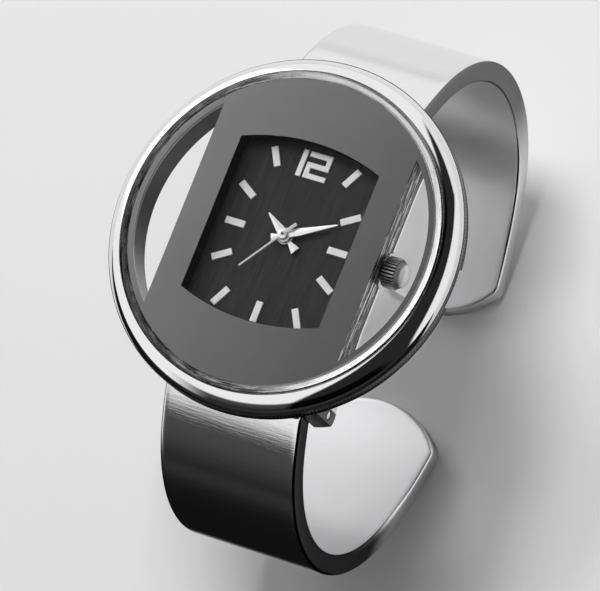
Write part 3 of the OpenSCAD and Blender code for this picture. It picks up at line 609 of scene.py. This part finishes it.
def crown_material():
    """The crown: satin, with painted shade in the grooves where the knurl lies deeper than its
    ribs, and a painted highlight on the dome that fades to painted shade round its foot."""
    mat, tree, bsdf = new_material("crown_polish")
    vec = object_vector(tree)
    about = from_stem(tree, vec)
    rib_r, groove_r, highlight_r, foot_shade_r = 1.70, 1.60, 1.15, 1.40
    on_knurl = fade(tree, axes(tree, vec)[0], CROWN_X - 0.07, CROWN_X - 0.13)
    # Painted shade: near black in the knurl's grooves.
    groove = times(tree, fade(tree, about, rib_r, groove_r), on_knurl)
    offset, height = wear_of(tree, vec, 0.06, 0.04)
    # Painted highlight on the dome, fading to painted shade round its foot.
    body = mix_color(tree, fade(tree, about, highlight_r, foot_shade_r), (0.99, 0.99, 0.99),
                     (0.25, 0.25, 0.255))
    body = mix_color(tree, on_knurl, body, (0.9, 0.9, 0.91))
    set_color(tree, bsdf, mix_color(tree, groove, body, (0.006, 0.006, 0.006)))
    tree.links.new(span(tree, on_knurl, 0.0, 1.0, 0.6, 1.0), bsdf.inputs["Metallic"])
    bsdf.inputs["Specular Tint"].default_value = (0.0, 0.0, 0.0, 1.0)
    set_rough(tree, bsdf, 0.38, offset)
    set_bump(tree, bsdf, height, 0.2)
    return mat


def glass_material():
    """Clear mineral glass with a coating that halves its glare. A shadow ray passes it almost
    unhindered, so the dial under it is lit."""
    mat, tree, bsdf = new_material("crystal_glass")
    bsdf.inputs["Base Color"].default_value = (1.0, 1.0, 1.0, 1.0)
    bsdf.inputs["Transmission Weight"].default_value = 1.0
    bsdf.inputs["IOR"].default_value = 1.40
    bsdf.inputs["Specular Tint"].default_value = (0.4, 0.4, 0.4, 1.0)
    offset, _ = wear_of(tree, object_vector(tree), 0.01, 0.02)
    set_rough(tree, bsdf, 0.003, offset, 0.0, 0.03)
    shadow = node(tree, "ShaderNodeLightPath").outputs["Is Shadow Ray"]
    tree.links.new(minus(tree, 1.0, times(tree, shadow, 0.92)), bsdf.inputs["Alpha"])
    return mat


def print_material():
    """The mirror print: a grey half-mirror with painted light, lighter away from the crown and
    darker toward it, with a trace of orange peel."""
    mat, tree, bsdf = new_material("grey_mirror_print")
    vec = object_vector(tree)
    peel, wide = noise(tree, vec, 900.0, 2.0), noise(tree, vec, 60.0, 1.0)
    # Painted light: a slope from light grey to dark grey toward the crown, with a soft random
    # mottle.
    across = vector_math(tree, "DOT_PRODUCT", vec, (0.95, -0.30, 0.0))
    painted_light_and_mottle = plus(tree, slope(tree, across, -17 * MM, 14 * MM),
                times(tree, minus(tree, wide, 0.5), 0.15))
    set_color(tree, bsdf, ramp(tree, painted_light_and_mottle, [
        (0.0, (0.38, 0.38, 0.383)), (1.0, (0.185, 0.185, 0.187))]))
    bsdf.inputs["Metallic"].default_value = 0.65
    set_rough(tree, bsdf, 0.06, times(tree, minus(tree, peel, 0.5), 0.04))
    set_bump(tree, bsdf, peel, 0.01, 0.004 * MM)
    return mat


def dial_material():
    """The dial: dark grey, finely brushed from 12 to 6."""
    mat, tree, bsdf = new_material("dark_brushed_dial")
    vec = object_vector(tree)
    fine = grain_of(tree, vec, (4200.0, 260.0, 400.0))
    wide = grain_of(tree, vec, (1500.0, 160.0, 400.0))
    both = plus(tree, fine, times(tree, wide, 0.7))
    set_color(tree, bsdf, ramp(tree, slope(tree, both, -0.5, 0.5), [
        (0.30, (0.028, 0.028, 0.0285)), (0.5, (0.036, 0.036, 0.0366)),
        (0.70, (0.046, 0.046, 0.0467))]))
    bsdf.inputs["Metallic"].default_value = 0.6
    set_rough(tree, bsdf, 0.42, times(tree, fine, 0.25))
    set_bump(tree, bsdf, fine, 0.5)
    return mat


case_finish = case_material()
seat_metal = seat_material()
crown_metal = crown_material()
crystal_glass = glass_material()
SLOT_MATERIALS = {
    "case_steel": case_finish, "polished_steel": polished, "wing_steel": wing_out,
    "black_plastic": black, "white_plastic": white, "movement_brass": brass,
    "spring_steel": spring_metal, "soft_iron": dark_metal, "coil_copper": copper,
    "circuit_green": board, "battery_steel": nickel, "rubber": rubber,
    "silver_applied": silver, "crystal_glass": crystal_glass,
    "mirror_coating": print_material(), "dial_grey": dial_material(),
}
OWN_MATERIALS = {"case_back": back_metal, "crystal_gasket": seat_metal}

slot_of = {s["node"]: s["material_slot"] for s in frame["record"]["subparts"]}
for name, obj in frame["nodes"].items():
    mat = OWN_MATERIALS.get(name, SLOT_MATERIALS[slot_of[name]])
    if not obj.material_slots:
        obj.data.materials.append(mat)
    for s in obj.material_slots:
        s.material = mat


def bezel_profile():
    """The bezel's section: a recess for the ribbed band, then one wide arc that starts steep at
    the side and falls short of level at the inner edge, and a bottom rebate for the ring's
    collar."""
    lip, nick = 0.06, 0.02
    inner = RING_R - BEZEL_W
    bottom = BEZEL_TOP - BEZEL_H
    collar = inner + 0.52
    seat = CRYSTAL_Z - 0.26
    recess, break_h = RING_R - 0.45, 0.05
    brink = math.degrees(math.acos(1 - (BEZEL_W - lip) / BEZEL_ARC_R))
    foot = BEZEL_TOP - BEZEL_ARC_R * math.sin(math.radians(brink))
    return np.concatenate([
        [[collar, bottom], [RING_R - 0.5, bottom], [recess, bottom + break_h],
         [recess, BAND_TOP - break_h]],
        arc(RING_R - BEZEL_ARC_R, foot, BEZEL_ARC_R, BAND_TILT, brink, 90),
        arc(inner + lip, BEZEL_TOP - lip, lip, 90, 180, 8)[1:],
        [[inner, seat + nick], [inner + nick, seat], [collar - nick, seat],
         [collar, seat - nick]],
    ])


bezel = mesh_from("bezel_ring", tube_skin(bezel_profile(), 360, along_z), polished, "watch_case",
                  edge=50)
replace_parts(bezel, "bezel")


def crystal_shell():
    """The crystal as loops about Z, from its underside's middle over its bevel to its top."""
    low, top, r = CRYSTAL_Z + 0.012, CRYSTAL_Z + CRYSTAL_T, CRYSTAL_R
    profile = [
        [6.0, low], [12.0, low], [17.0, low], [r - 0.07, low], [r - 0.02, low + 0.02],
        [r, low + 0.07], [r, top - 0.50], [r - 0.01, top - 0.46], [r - 0.04, top - 0.43],
        [r - 0.58, top - 0.035], [r - 0.62, top - 0.01], [r - 0.68, top],
        [16.0, top], [12.0, top], [6.0, top],
    ]
    return skin(lathe(profile, 256, along_z), "fan", "fan")


crystal = mesh_from("crystal_disc", crystal_shell(), crystal_glass, "watch_case",
                    edge=20)
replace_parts(crystal, "crystal")


def wing_loop(inset):
    """Points (x, t) round the wing's section, shrunk by an inset; t is the depth below its face.

    The first half runs over the outer face from -X to +X, the second half back along the inner.
    """
    half, e = WING_W / 2 - WING_EDGE, WING_EDGE
    reach, middle = half + e - inset, WING_T / 2 - 0.02
    left = arc(-half, e, e - inset, 180, 270, 7)
    flat = np.column_stack([np.linspace(-half, half, 35)[1:-1], np.full(33, inset)])
    right = arc(half, e, e - inset, 270, 360, 7)
    outer = np.concatenate([[[-reach, middle]], left, flat, right, [[reach, middle]]])
    return np.concatenate([outer, outer[::-1] * (1, -1) + (0, WING_T)])


def wing_shell():
    """The upper wing's plate, as loops across it from its root to its free end, with a number for
    each face: 0 on the outer side, 1 on the inner side, 2 on the cut faces and their edges.

    A point of a loop lies at r - t from the centre of the arc that the loop is on:
    y = cy + (r - t) cos a, z = cz + (r - t) sin a. Three arcs follow each other with one tangent.
    At both ends the loops shrink by e (1 - cos p) within e (1 - sin p) of the end, which rounds
    it. The last arc's angle runs to where y reaches END_Y + END_R - sqrt(END_R^2 - x^2), seen
    from below a round end. The foot is flat at z = 0, and near the hinge no point is further than
    SWING_R from the pin, so that the root swings clear of the ring.
    """
    join_top = math.atan2(SIDE_Z - TOP_Z, SIDE_Y)
    join_low = math.atan2(SIDE_Z - LOW_Z, SIDE_Y)
    root = math.atan2(PIN_Z + SWING_R - TOP_Z, PIN_Y + 0.2)
    p = np.radians(np.linspace(90, 0, 6))
    near, shrink = WING_EDGE * (1 - np.sin(p)), WING_EDGE * (1 - np.cos(p))
    full = wing_loop(0.0)
    end_loops = np.stack([wing_loop(s) for s in shrink])

    def on_arc(loop, cy, cz, r, a):
        d = r - loop[..., 1]
        y, z = cy + d * np.cos(a), cz + d * np.sin(a)
        return np.stack([np.broadcast_to(loop[..., 0], y.shape), y, z], axis=-1)

    def end_angle(loop, back):
        depth = np.sqrt(END_R ** 2 - loop[..., 0] ** 2)
        y = END_Y + END_R - depth + back * END_R / depth
        return -np.arccos(y / (LOW_R - loop[..., 1]))

    starts = on_arc(end_loops, 0, TOP_Z, TOP_R, (root - near / TOP_R)[:, None])
    top = on_arc(full[None], 0, TOP_Z, TOP_R,
                 np.linspace(root - near[-1] / TOP_R, join_top, 26)[1:-1, None])
    side = on_arc(full[None], SIDE_Y, SIDE_Z, SIDE_R,
                  np.linspace(join_top, join_low, 130)[:, None])
    last = end_angle(full, near[-1])[None]
    run = np.linspace(0, 1, 42)[1:-1, None]
    low = on_arc(full[None], 0, LOW_Z, LOW_R, join_low + (last - join_low) * run)
    ends = on_arc(end_loops[::-1], 0, LOW_Z, LOW_R, end_angle(end_loops[::-1], near[::-1, None]))
    loops = np.concatenate([starts, top, side, low, ends])

    root_y, free_y, extra = 17.7, 18.8, 0.35
    dy, dz = loops[..., 1] - PIN_Y, loops[..., 2] - PIN_Z
    far = np.hypot(dy, dz)
    ease = np.clip(loops[..., 1] - root_y, 0, 1)
    room = SWING_R + extra * ease * ease * (3 - 2 * ease)
    cut = (far > room) & (dz > 0) & (loops[..., 1] < free_y)
    scale = np.where(cut, room / far, 1.0)
    loops[..., 1] = PIN_Y + dy * scale
    loops[..., 2] = np.maximum(PIN_Z + dz * scale, 0.0)
    verts, faces = skin(loops, "strip", "strip")
    rows, cols = loops.shape[:2]
    half = cols // 2
    outer, inner = slice(5, half - 6), slice(half + 7, cols - 8)
    kind = np.full(cols, 2)
    kind[outer], kind[inner] = 0, 1
    kind = np.concatenate([np.tile(kind, rows - 1), np.full(len(faces) - (rows - 1) * cols, 2)])
    return verts, faces, kind


def knuckle(side):
    """One hinge knuckle: a bored barrel with broken edges, on the +X or -X side."""
    edge, gap, bore = 0.12, 0.12, PIN_R + 0.06
    x0, x1 = SPRING_L / 2 + gap, WING_W / 2 - 0.35
    profile = np.array([[bore, x0], [KNUCKLE_R - edge, x0], [KNUCKLE_R, x0 + edge],
                        [KNUCKLE_R, x1 - edge], [KNUCKLE_R - edge, x1], [bore, x1]])
    return tube_skin(profile * (1, side), 64, along_x(PIN_Y, PIN_Z))


def wing(name, body, side):
    """A wing with its two knuckles, on the +Y or -Y side."""
    verts, faces, kind = wing_shell()
    verts, faces = together([(verts, faces), knuckle(1), knuckle(-1)])
    kind = np.concatenate([kind, np.zeros(len(faces) - len(kind), dtype=int)])
    return mesh_from(name, (verts * (1, side, 1), faces), wing_out, body, edge=35,
                     parts=((wing_in, wing_rim), kind))


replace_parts(wing("upper_wing_plate", "upper_cuff", 1), "upper_wing")
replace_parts(wing("lower_wing_plate", "lower_cuff", -1), "lower_wing")


def crown_shell():
    """The crown about the stem's axis: r = r0 - depth * flute(angle) over the knurl, then a step,
    a narrow rim and a dome that is half an ellipse: r = R cos a, x = x1 + H sin a."""
    x0, x1, r0 = BAR_HALF - 0.05, CROWN_X, 1.75
    stem_r, hollow_r, hollow_x = 0.42, 1.15, x1 - 0.5
    dome_r, dome_h, flutes, flute_depth = 1.48, 0.95, 28, 0.20
    rise = np.radians(np.linspace(8, 88, 22))
    profile = np.concatenate([
        [[stem_r, hollow_x], [hollow_r, hollow_x], [hollow_r, x0], [r0 - 0.2, x0],
         [r0 - 0.12, x0 + 0.02]],
        np.column_stack([np.full(14, r0), x0 + 0.16 + 0.1 * np.arange(14)]),
        [[r0 - 0.10, x1 - 0.05], [r0 - 0.17, x1 - 0.01], [dome_r + 0.02, x1]],
        np.column_stack([dome_r * np.cos(rise), x1 + dome_h * np.sin(rise)]),
    ])
    turn = np.linspace(0, TAU, flutes * 16, endpoint=False)
    groove = np.clip((0.35 - np.cos(flutes * turn)) / 0.9, 0, 1)
    groove = groove * groove * (3 - 2 * groove)
    on_knurl = np.clip((profile[:, 0] - (r0 - 0.16)) / 0.1, 0, 1)
    r = profile[:, :1] - flute_depth * on_knurl[:, None] * groove[None]
    x = np.broadcast_to(profile[:, 1:], r.shape)
    loops = np.stack([x, r * np.cos(turn), r * np.sin(turn) + STEM_Z], axis=-1)
    return skin(loops, "fan", "fan")


crown = mesh_from("fluted_crown", crown_shell(), crown_metal, "crown_and_stem",
                  edge=40)
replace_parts(crown, "crown")


def turned(points, angle):
    """Flat points turned about Z by an angle in degrees."""
    c, s = math.cos(math.radians(angle)), math.sin(math.radians(angle))
    return points @ np.array([[c, s], [-s, c]])


def hour_bar(x, y):
    """One applied bar at (x, y), pointing at the dial's middle."""
    half_l, half_w = 1.19, 0.40
    box = np.array([[-1, -1], [1, -1], [1, 1], [-1, 1]]) * (half_l, half_w)
    return marker_slab(turned(box, math.degrees(math.atan2(y, x))) + (x, y))


def numeral_shells():
    """The numeral 12 in straight strokes of the width s, each figure one bevelled outline; h is
    their height and w the width of the 2."""
    s, h, w, gap, below_edge = 0.62, 3.1, 2.75, 0.25, 2.03
    step = (h - s) / 2
    x0, y0 = -(s + gap + w) / 2, WINDOW_H - below_edge - h / 2
    one = np.array([[0, 0], [s, 0], [s, h], [0, h]]) + (x0, y0)
    two = np.array([[0, 0], [w, 0], [w, s], [s, s], [s, step], [w, step], [w, h], [0, h],
                    [0, h - s], [w - s, h - s], [w - s, step + s],
                    [0, step + s]]) + (x0 + s + gap, y0)
    return [marker_slab(one), marker_slab(two)]


def marker_shells():
    """The bars at 9 and 3, beside them, in the window's corners and at 6, and the numeral."""
    near_x = WINDOW_W - 2.19
    beside_x, beside_y = near_x + 0.06, 3.84
    corner_x, corner_y, six_y = 4.68, WINDOW_H - 2.18, 1.66 - WINDOW_H
    bars = [(sx * near_x, 0.0) for sx in (-1, 1)]
    bars += [(sx * beside_x, sy * beside_y) for sx in (-1, 1) for sy in (-1, 1)]
    bars += [(sx * corner_x, sy * corner_y) for sx in (-1, 1) for sy in (-1, 1)]
    bars.append((0.0, six_y))
    return [hour_bar(x, y) for x, y in bars] + numeral_shells()


markers = mesh_from("applied_markers", together(marker_shells()), silver, "watch_case",
                    smooth=False)
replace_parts(markers, "hour_markers")


def blade(stations, z, ridge, turn):
    """A hand's blade: at each (y, width) of its outline a section with upright sides and a low
    ridge.

    Across the blade u runs from -1 to 1, x = u w / 2, and the top is z + T + ridge w (1 - |u|).
    """
    stations = np.array(stations, dtype=float)
    y = np.unique(np.concatenate([stations[:, 0],
                                  np.linspace(stations[0, 0], stations[-1, 0], 40)]))
    w = np.interp(y, stations[:, 0], stations[:, 1])
    u = np.array([-1, -1, -0.94, -0.5, 0, 0.5, 0.94, 1, 1])
    top = np.array([0, 0.82, 1, 1, 1, 1, 1, 0.82, 0]) * HAND_T
    rise = np.array([0, 0, 0.06, 0.5, 1, 0.5, 0.06, 0, 0])
    x = w[:, None] * u / 2
    h = z + top + ridge * w[:, None] * rise
    flat = turned(np.stack([x, np.broadcast_to(y[:, None], x.shape)], axis=-1), turn)
    return skin(np.concatenate([flat, h[..., None]], axis=-1))


def hub(r, bore, z):
    """A hand's round hub with a rounded upper edge, bored for its arbor."""
    edge, nick, top = 0.06, 0.03, z + (HAND_T + 0.015)
    profile = np.concatenate([[[bore, z], [r, z]], arc(r - edge, top - edge, edge, 0, 90, 5),
                              [[bore + nick, top], [bore, top - nick]]])
    return tube_skin(profile, 64, along_z)


def hub_cap(r, z):
    """The second hand's hub: a low boss with a small countersink in its middle."""
    nick, top = 0.03, z + (HAND_T + 0.03)
    profile = [[r, z], [r, top - 0.08], [r - nick, top - nick], [r - 0.09, top], [0.17, top],
               [0.13, top - nick], [0.04, top - 0.09]]
    return skin(lathe(profile, 48, along_z), "face", "fan")


# Each hand's name, turn in degrees, ridge, shading break, hub and outline of (y, width)
HANDS = (
    ("hour", -(300 + SHOWN_S / 120), 0.09, 8, hub(0.95, 0.64, HAND_Z["hour"]),
     [(-2.2, 1.1), (-0.9, 0.4), (0, 0.9), (0.884, 1.05), (3.4, 0.16)]),
    ("minute", -SHOWN_S / 10, 0.09, 8, hub(0.8, 0.44, HAND_Z["minute"]),
     [(-1.45, 0.9), (-0.5, 0.36), (0, 0.7), (1.586, 0.9), (6.1, 0.15)]),
    ("second", -(SHOWN_S % 60) * 6, 0.0, 30, hub_cap(0.55, HAND_Z["second"]),
     [(-1.85, 0.36), (-0.2, 0.36), (0, 0.24), (5.85, 0.22)]),
)
for name, turn, ridge, edge, boss, outline in HANDS:
    shell = together([blade(outline, HAND_Z[name], ridge, turn), boss])
    hand = mesh_from(name + "_hand_blade", shell, hand_metal, name + "_train",
                     edge=edge)
    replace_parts(hand, name + "_hand")


def barrel(g, across, up):
    """The window's outline grown by g, anticlockwise: two upright sides and two arcs."""
    half, r, drop = WINDOW_W + g, WINDOW_R + g, WINDOW_R - WINDOW_H
    corner = math.sqrt(r * r - half * half) - drop
    x = np.linspace(half, -half, across, endpoint=False)
    top = np.stack([x, np.sqrt(r * r - x * x) - drop], axis=-1)
    y = np.linspace(-corner, corner, up, endpoint=False)
    right = np.stack([np.full(up, half), y], axis=-1)
    return np.concatenate([right, top, -right, -top])


def frame_shell():
    """The black frame round the window's depth: below a plain lip its inner wall has fine upright
    ribs, depth (1 + cos(2 pi s / pitch)) / 2 at the length s along the wall."""
    depth, pitch, lip, slant = 0.07, 0.45, 0.25, 0.05
    wall_in, wall_out, across, up = 0.12, 0.9, 120, 140
    outer, inner = barrel(wall_out, across, up), barrel(wall_in, across, up)
    step = np.linalg.norm(np.roll(inner, -1, axis=0) - inner, axis=1)
    length = np.concatenate([[0], np.cumsum(step)[:-1]])
    ribs = 0.5 + 0.5 * np.cos(TAU * length / pitch)
    groove = inner + (grow(inner, 1.0) - inner) * (depth * ribs)[:, None]
    low, top = DIAL_Z, FRAME_TOP
    loops = np.stack([
        at_height(outer, low), at_height(outer, top), at_height(inner, top),
        at_height(inner, top - lip), at_height(groove, top - lip - slant),
        at_height(groove, low)])
    return loops.reshape(-1, 3), grid_faces(*loops.shape[:2], True, True)


dial_frame = mesh_from("ribbed_dial_frame", frame_shell(), black, "watch_case",
                       edge=30)
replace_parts(dial_frame, "dial_frame")


def rim_shell():
    """The dark ribbed band below the bezel's arc: r = R + depth |cos(150 a)| between two plain
    lips, cut away to half height beside the crown."""
    depth, proud, half_cut = 0.04, 0.06, 0.7
    low_lip, top_lip, slant, nick = 0.12, 0.16, 0.04, 0.03
    turn = np.linspace(0, TAU, 2400, endpoint=False)
    ribs = BAND_R + depth * np.abs(np.cos(150 * turn))
    lip, back = np.full_like(turn, BAND_R + proud), np.full_like(turn, RING_R - 0.5)
    beside = (np.abs(BAND_R * np.sin(turn)) < NOTCH_W / 2 + 0.02) & (np.cos(turn) > 0)
    low = np.where(beside, BAND_TOP - half_cut, BAND_TOP - BAND_H)
    high = np.full_like(turn, BAND_TOP)
    rings = [(back, low), (lip, low), (lip, low + low_lip), (ribs, low + low_lip + slant),
             (ribs, high - top_lip - slant), (lip, high - top_lip), (lip, high - nick),
             (lip - nick, high), (back, high)]
    loops = np.stack([along_z(q * np.cos(turn), q * np.sin(turn), z) for q, z in rings])
    return loops.reshape(-1, 3), grid_faces(len(rings), len(turn), True, True)


mesh_from("ribbed_rim", rim_shell(), rim_dark, "watch_case", edge=40)


def wire_shell(path, r, sides=12):
    """A round wire along a path: at each point a circle in the plane across the path's
    direction, with one diameter square to X, or to Z where the path runs along X."""
    along = np.gradient(path, axis=0)
    along /= np.linalg.norm(along, axis=1)[:, None]
    up = np.cross(along, [1.0, 0.0, 0.0])
    weak = np.linalg.norm(up, axis=1) < 0.1
    up[weak] = np.cross(along[weak], [0.0, 0.0, 1.0])
    up /= np.linalg.norm(up, axis=1)[:, None]
    over = np.cross(along, up)
    a = np.linspace(0, TAU, sides, endpoint=False)
    ring = up[:, None] * np.cos(a)[:, None] + over[:, None] * np.sin(a)[:, None]
    return skin(path[:, None] + r * ring)


def spring_path():
    """A torsion spring: a leg under the back tray, a close coil round the pin, whose angle falls
    steadily while x runs from +X to -X, and a leg in the wing."""
    coil_r, turns, x_end = 0.74, 16.25, SPRING_L / 2 - WIRE_R
    start = np.stack([np.full(12, x_end), np.linspace(-3.55, -0.2, 12), np.full(12, coil_r)],
                     axis=-1)
    a = np.linspace(TAU / 4, TAU / 4 - TAU * turns, 620)
    x = np.linspace(x_end, -x_end, 620)
    coil = np.stack([x, coil_r * np.cos(a), coil_r * np.sin(a)], axis=-1)
    leg = np.array([[0.78, -0.25], [0.92, -0.5], [1.15, -0.68], [1.45, -0.74], [2.1, -0.74],
                    [2.75, -0.74]])
    leg = np.column_stack([np.full(len(leg), -x_end), leg])
    return np.concatenate([start, coil, leg]) + (0, PIN_Y, PIN_Z)


def pin_shell():
    """A hinge pin about its axis, with a small dome on each end: r = PIN_R cos p,
    x = X + H sin p."""
    dome_h = 0.15
    p = np.radians(np.linspace(0, 80, 7))
    r = PIN_R * np.cos(p)
    x = EAR_OUT - dome_h + dome_h * np.sin(p)
    profile = np.column_stack([np.concatenate([r[::-1], r]), np.concatenate([-x[::-1], x])])
    return skin(lathe(profile, 48, along_x(PIN_Y, PIN_Z)), "fan", "fan")


for side, name in ((1, "upper"), (-1, "lower")):
    verts, faces = wire_shell(spring_path(), WIRE_R)
    coil = mesh_from(name + "_hinge_coil", (verts * (1, side, 1), faces), spring_metal,
                     "watch_case")
    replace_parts(coil, name + "_spring")
    verts, faces = pin_shell()
    pin = mesh_from(name + "_round_pin", (verts * (1, side, 1), faces), polished, "watch_case",
                    edge=40)
    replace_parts(pin, name + "_hinge_pin")


def stage_floor():
    """A plain pale floor. Away from the watch it glows at its own shade, so that it looks even
    out to its rim though the lamps reach only its middle; toward the camera the metal sees it
    end."""
    mat, tree, bsdf = new_material("pale_floor")
    out = next(n for n in tree.nodes if n.type == "OUTPUT_MATERIAL")
    ray = node(tree, "ShaderNodeLightPath").outputs
    vec = object_vector(tree)
    bsdf.inputs["Base Color"].default_value = (0.80, 0.80, 0.80, 1.0)
    bsdf.inputs["Roughness"].default_value = 0.85
    y = axes(tree, vec)[1]
    front = times(tree, fade(tree, y, -20, -34), ray["Is Glossy Ray"])
    far = either(tree, fade(tree, vector_math(tree, "LENGTH", vec), 120, 350), front)
    seen = either(tree, ray["Is Camera Ray"],
                  either(tree, ray["Is Glossy Ray"], ray["Is Transmission Ray"]))
    end = mix_color(tree, fade(tree, y, -50, -250), (0.006, 0.006, 0.006), (0.03, 0.03, 0.03))
    glow = node(tree, "ShaderNodeEmission", {
        "Color": mix_color(tree, front, (0.78, 0.78, 0.78), end)}).outputs[0]
    mix = node(tree, "ShaderNodeMixShader", {
        0: times(tree, far, seen), 1: bsdf.outputs[0], 2: glow})
    tree.links.new(mix.outputs[0], out.inputs["Surface"])
    half = 900.0
    corners = np.array([[-1, -1, 0], [1, -1, 0], [1, 1, 0], [-1, 1, 0]]) * half
    mesh_from("floor", (corners, [[0, 1, 2, 3]]), mat, None, smooth=False)


stage_floor()


def softbox(name, at, look, size, power):
    """A square lamp at one place, facing another."""
    light = bpy.data.lights.new(name, "AREA")
    light.shape = "RECTANGLE"
    light.size = light.size_y = size * MM
    light.energy = power
    obj = bpy.data.objects.new(name, light)
    bpy.context.scene.collection.objects.link(obj)
    at, look = Vector(at) * MM, Vector(look) * MM
    facing = (at - look).to_track_quat("Z", "Y").to_matrix().to_4x4()
    obj.matrix_world = Matrix.Translation(at) @ facing
    return obj


softbox("key_softbox", (-484, 260, 315), (0, 0, 30), 420, 0.9)
top = softbox("top_softbox", (-40, 190, 570), (0, 0, 40), 180, 2.5)
top.visible_glossy = top.visible_transmission = False


def build_world():
    """The studio that metal and glass see: bright over the left half, with a grey panel where the
    crystal looks, a dark spot above the upper wing and a darker low front, and a dark right half
    with a bright low panel at its back. The camera sees a pale backdrop, and all other rays see
    an even pale room."""
    world = bpy.data.worlds.new("studio")
    bpy.context.scene.world = world
    world.use_nodes = True
    tree = world.node_tree
    tree.nodes.clear()
    out = tree.nodes.new("ShaderNodeOutputWorld")
    coord = node(tree, "ShaderNodeTexCoord").outputs["Generated"]
    x, y, z = axes(tree, coord)

    def zone(direction, edge, full, low, high):
        """A round zone about a direction: low outside the angle edge, high within full."""
        toward = vector_math(tree, "DOT_PRODUCT", coord, tuple(Vector(direction).normalized()))
        return span(tree, toward, math.cos(math.radians(edge)), math.cos(math.radians(full)),
                    low, high)

    left = span(tree, x, 0.16, 0.08, 0.02, 0.95)
    ahead = times(tree, span(tree, y, -0.48, -0.64), span(tree, x, -0.74, -0.44))
    front = either(tree, span(tree, z, 0.40, 0.57), span(tree, z, -0.05, 0.42, 0.022, 0.07))
    front = minus(tree, 1.0, times(tree, ahead, minus(tree, 1.0, front)))
    left = times(tree, left, front, zone((-0.38, 0.20, 0.90), 14.0, 8.0, 1.0, 0.235),
                 zone((0.03, 0.36, 0.93), 21.0, 14.0, 1.0, 0.04))
    panel = zone((0.95, 0.31, -0.09), 41.0, 35.0, 0.0, 0.92)
    back = zone((0.40, 0.90, 0.0), 25.0, 18.0, 0.0, 0.85)
    shade = either(tree, left, either(tree, panel, back))
    ray = node(tree, "ShaderNodeLightPath").outputs
    light = node(tree, "ShaderNodeMix", {0: ray["Is Camera Ray"], 2: 0.22, 3: 0.80}).outputs[0]
    plain = node(tree, "ShaderNodeBackground", {"Color": (1.0, 1.0, 1.0, 1.0), "Strength": light})
    seen = node(tree, "ShaderNodeBackground", {"Color": shade})
    mix = node(tree, "ShaderNodeMixShader", {
        0: ray["Is Glossy Ray"], 1: plain.outputs[0], 2: seen.outputs[0]})
    tree.links.new(mix.outputs[0], out.inputs["Surface"])


build_world()


def photo_camera():
    """The camera of the photograph: far away, looking down on the dial, rolled to the left."""
    right = Vector((0.8762, 0.3643, -0.3156))
    up = Vector((-0.2685, 0.9127, 0.3081))
    back = Vector((0.4003, -0.1852, 0.8975))
    focal_px, image_w, sensor_w = 6506.5, 600, 36.0
    shift_x, shift_y, away = 2.17, -6.96, 700.5
    data = bpy.data.cameras.new("photo_camera")
    data.sensor_width = sensor_w
    data.lens = sensor_w * focal_px / image_w
    data.clip_start, data.clip_end = 0.05, 20.0
    cam = bpy.data.objects.new("photo_camera", data)
    bpy.context.scene.collection.objects.link(cam)
    aim = Vector((0, 0, CRYSTAL_Z + 0.35))
    place = (right * shift_x + up * shift_y + back * away + aim) * MM
    turn = Matrix((right, up, back)).transposed().to_quaternion()
    cam.matrix_world = Matrix.LocRotScale(place, turn, None)
    bpy.context.scene.camera = cam


photo_camera()
bpy.context.scene.view_settings.view_transform = "Standard"
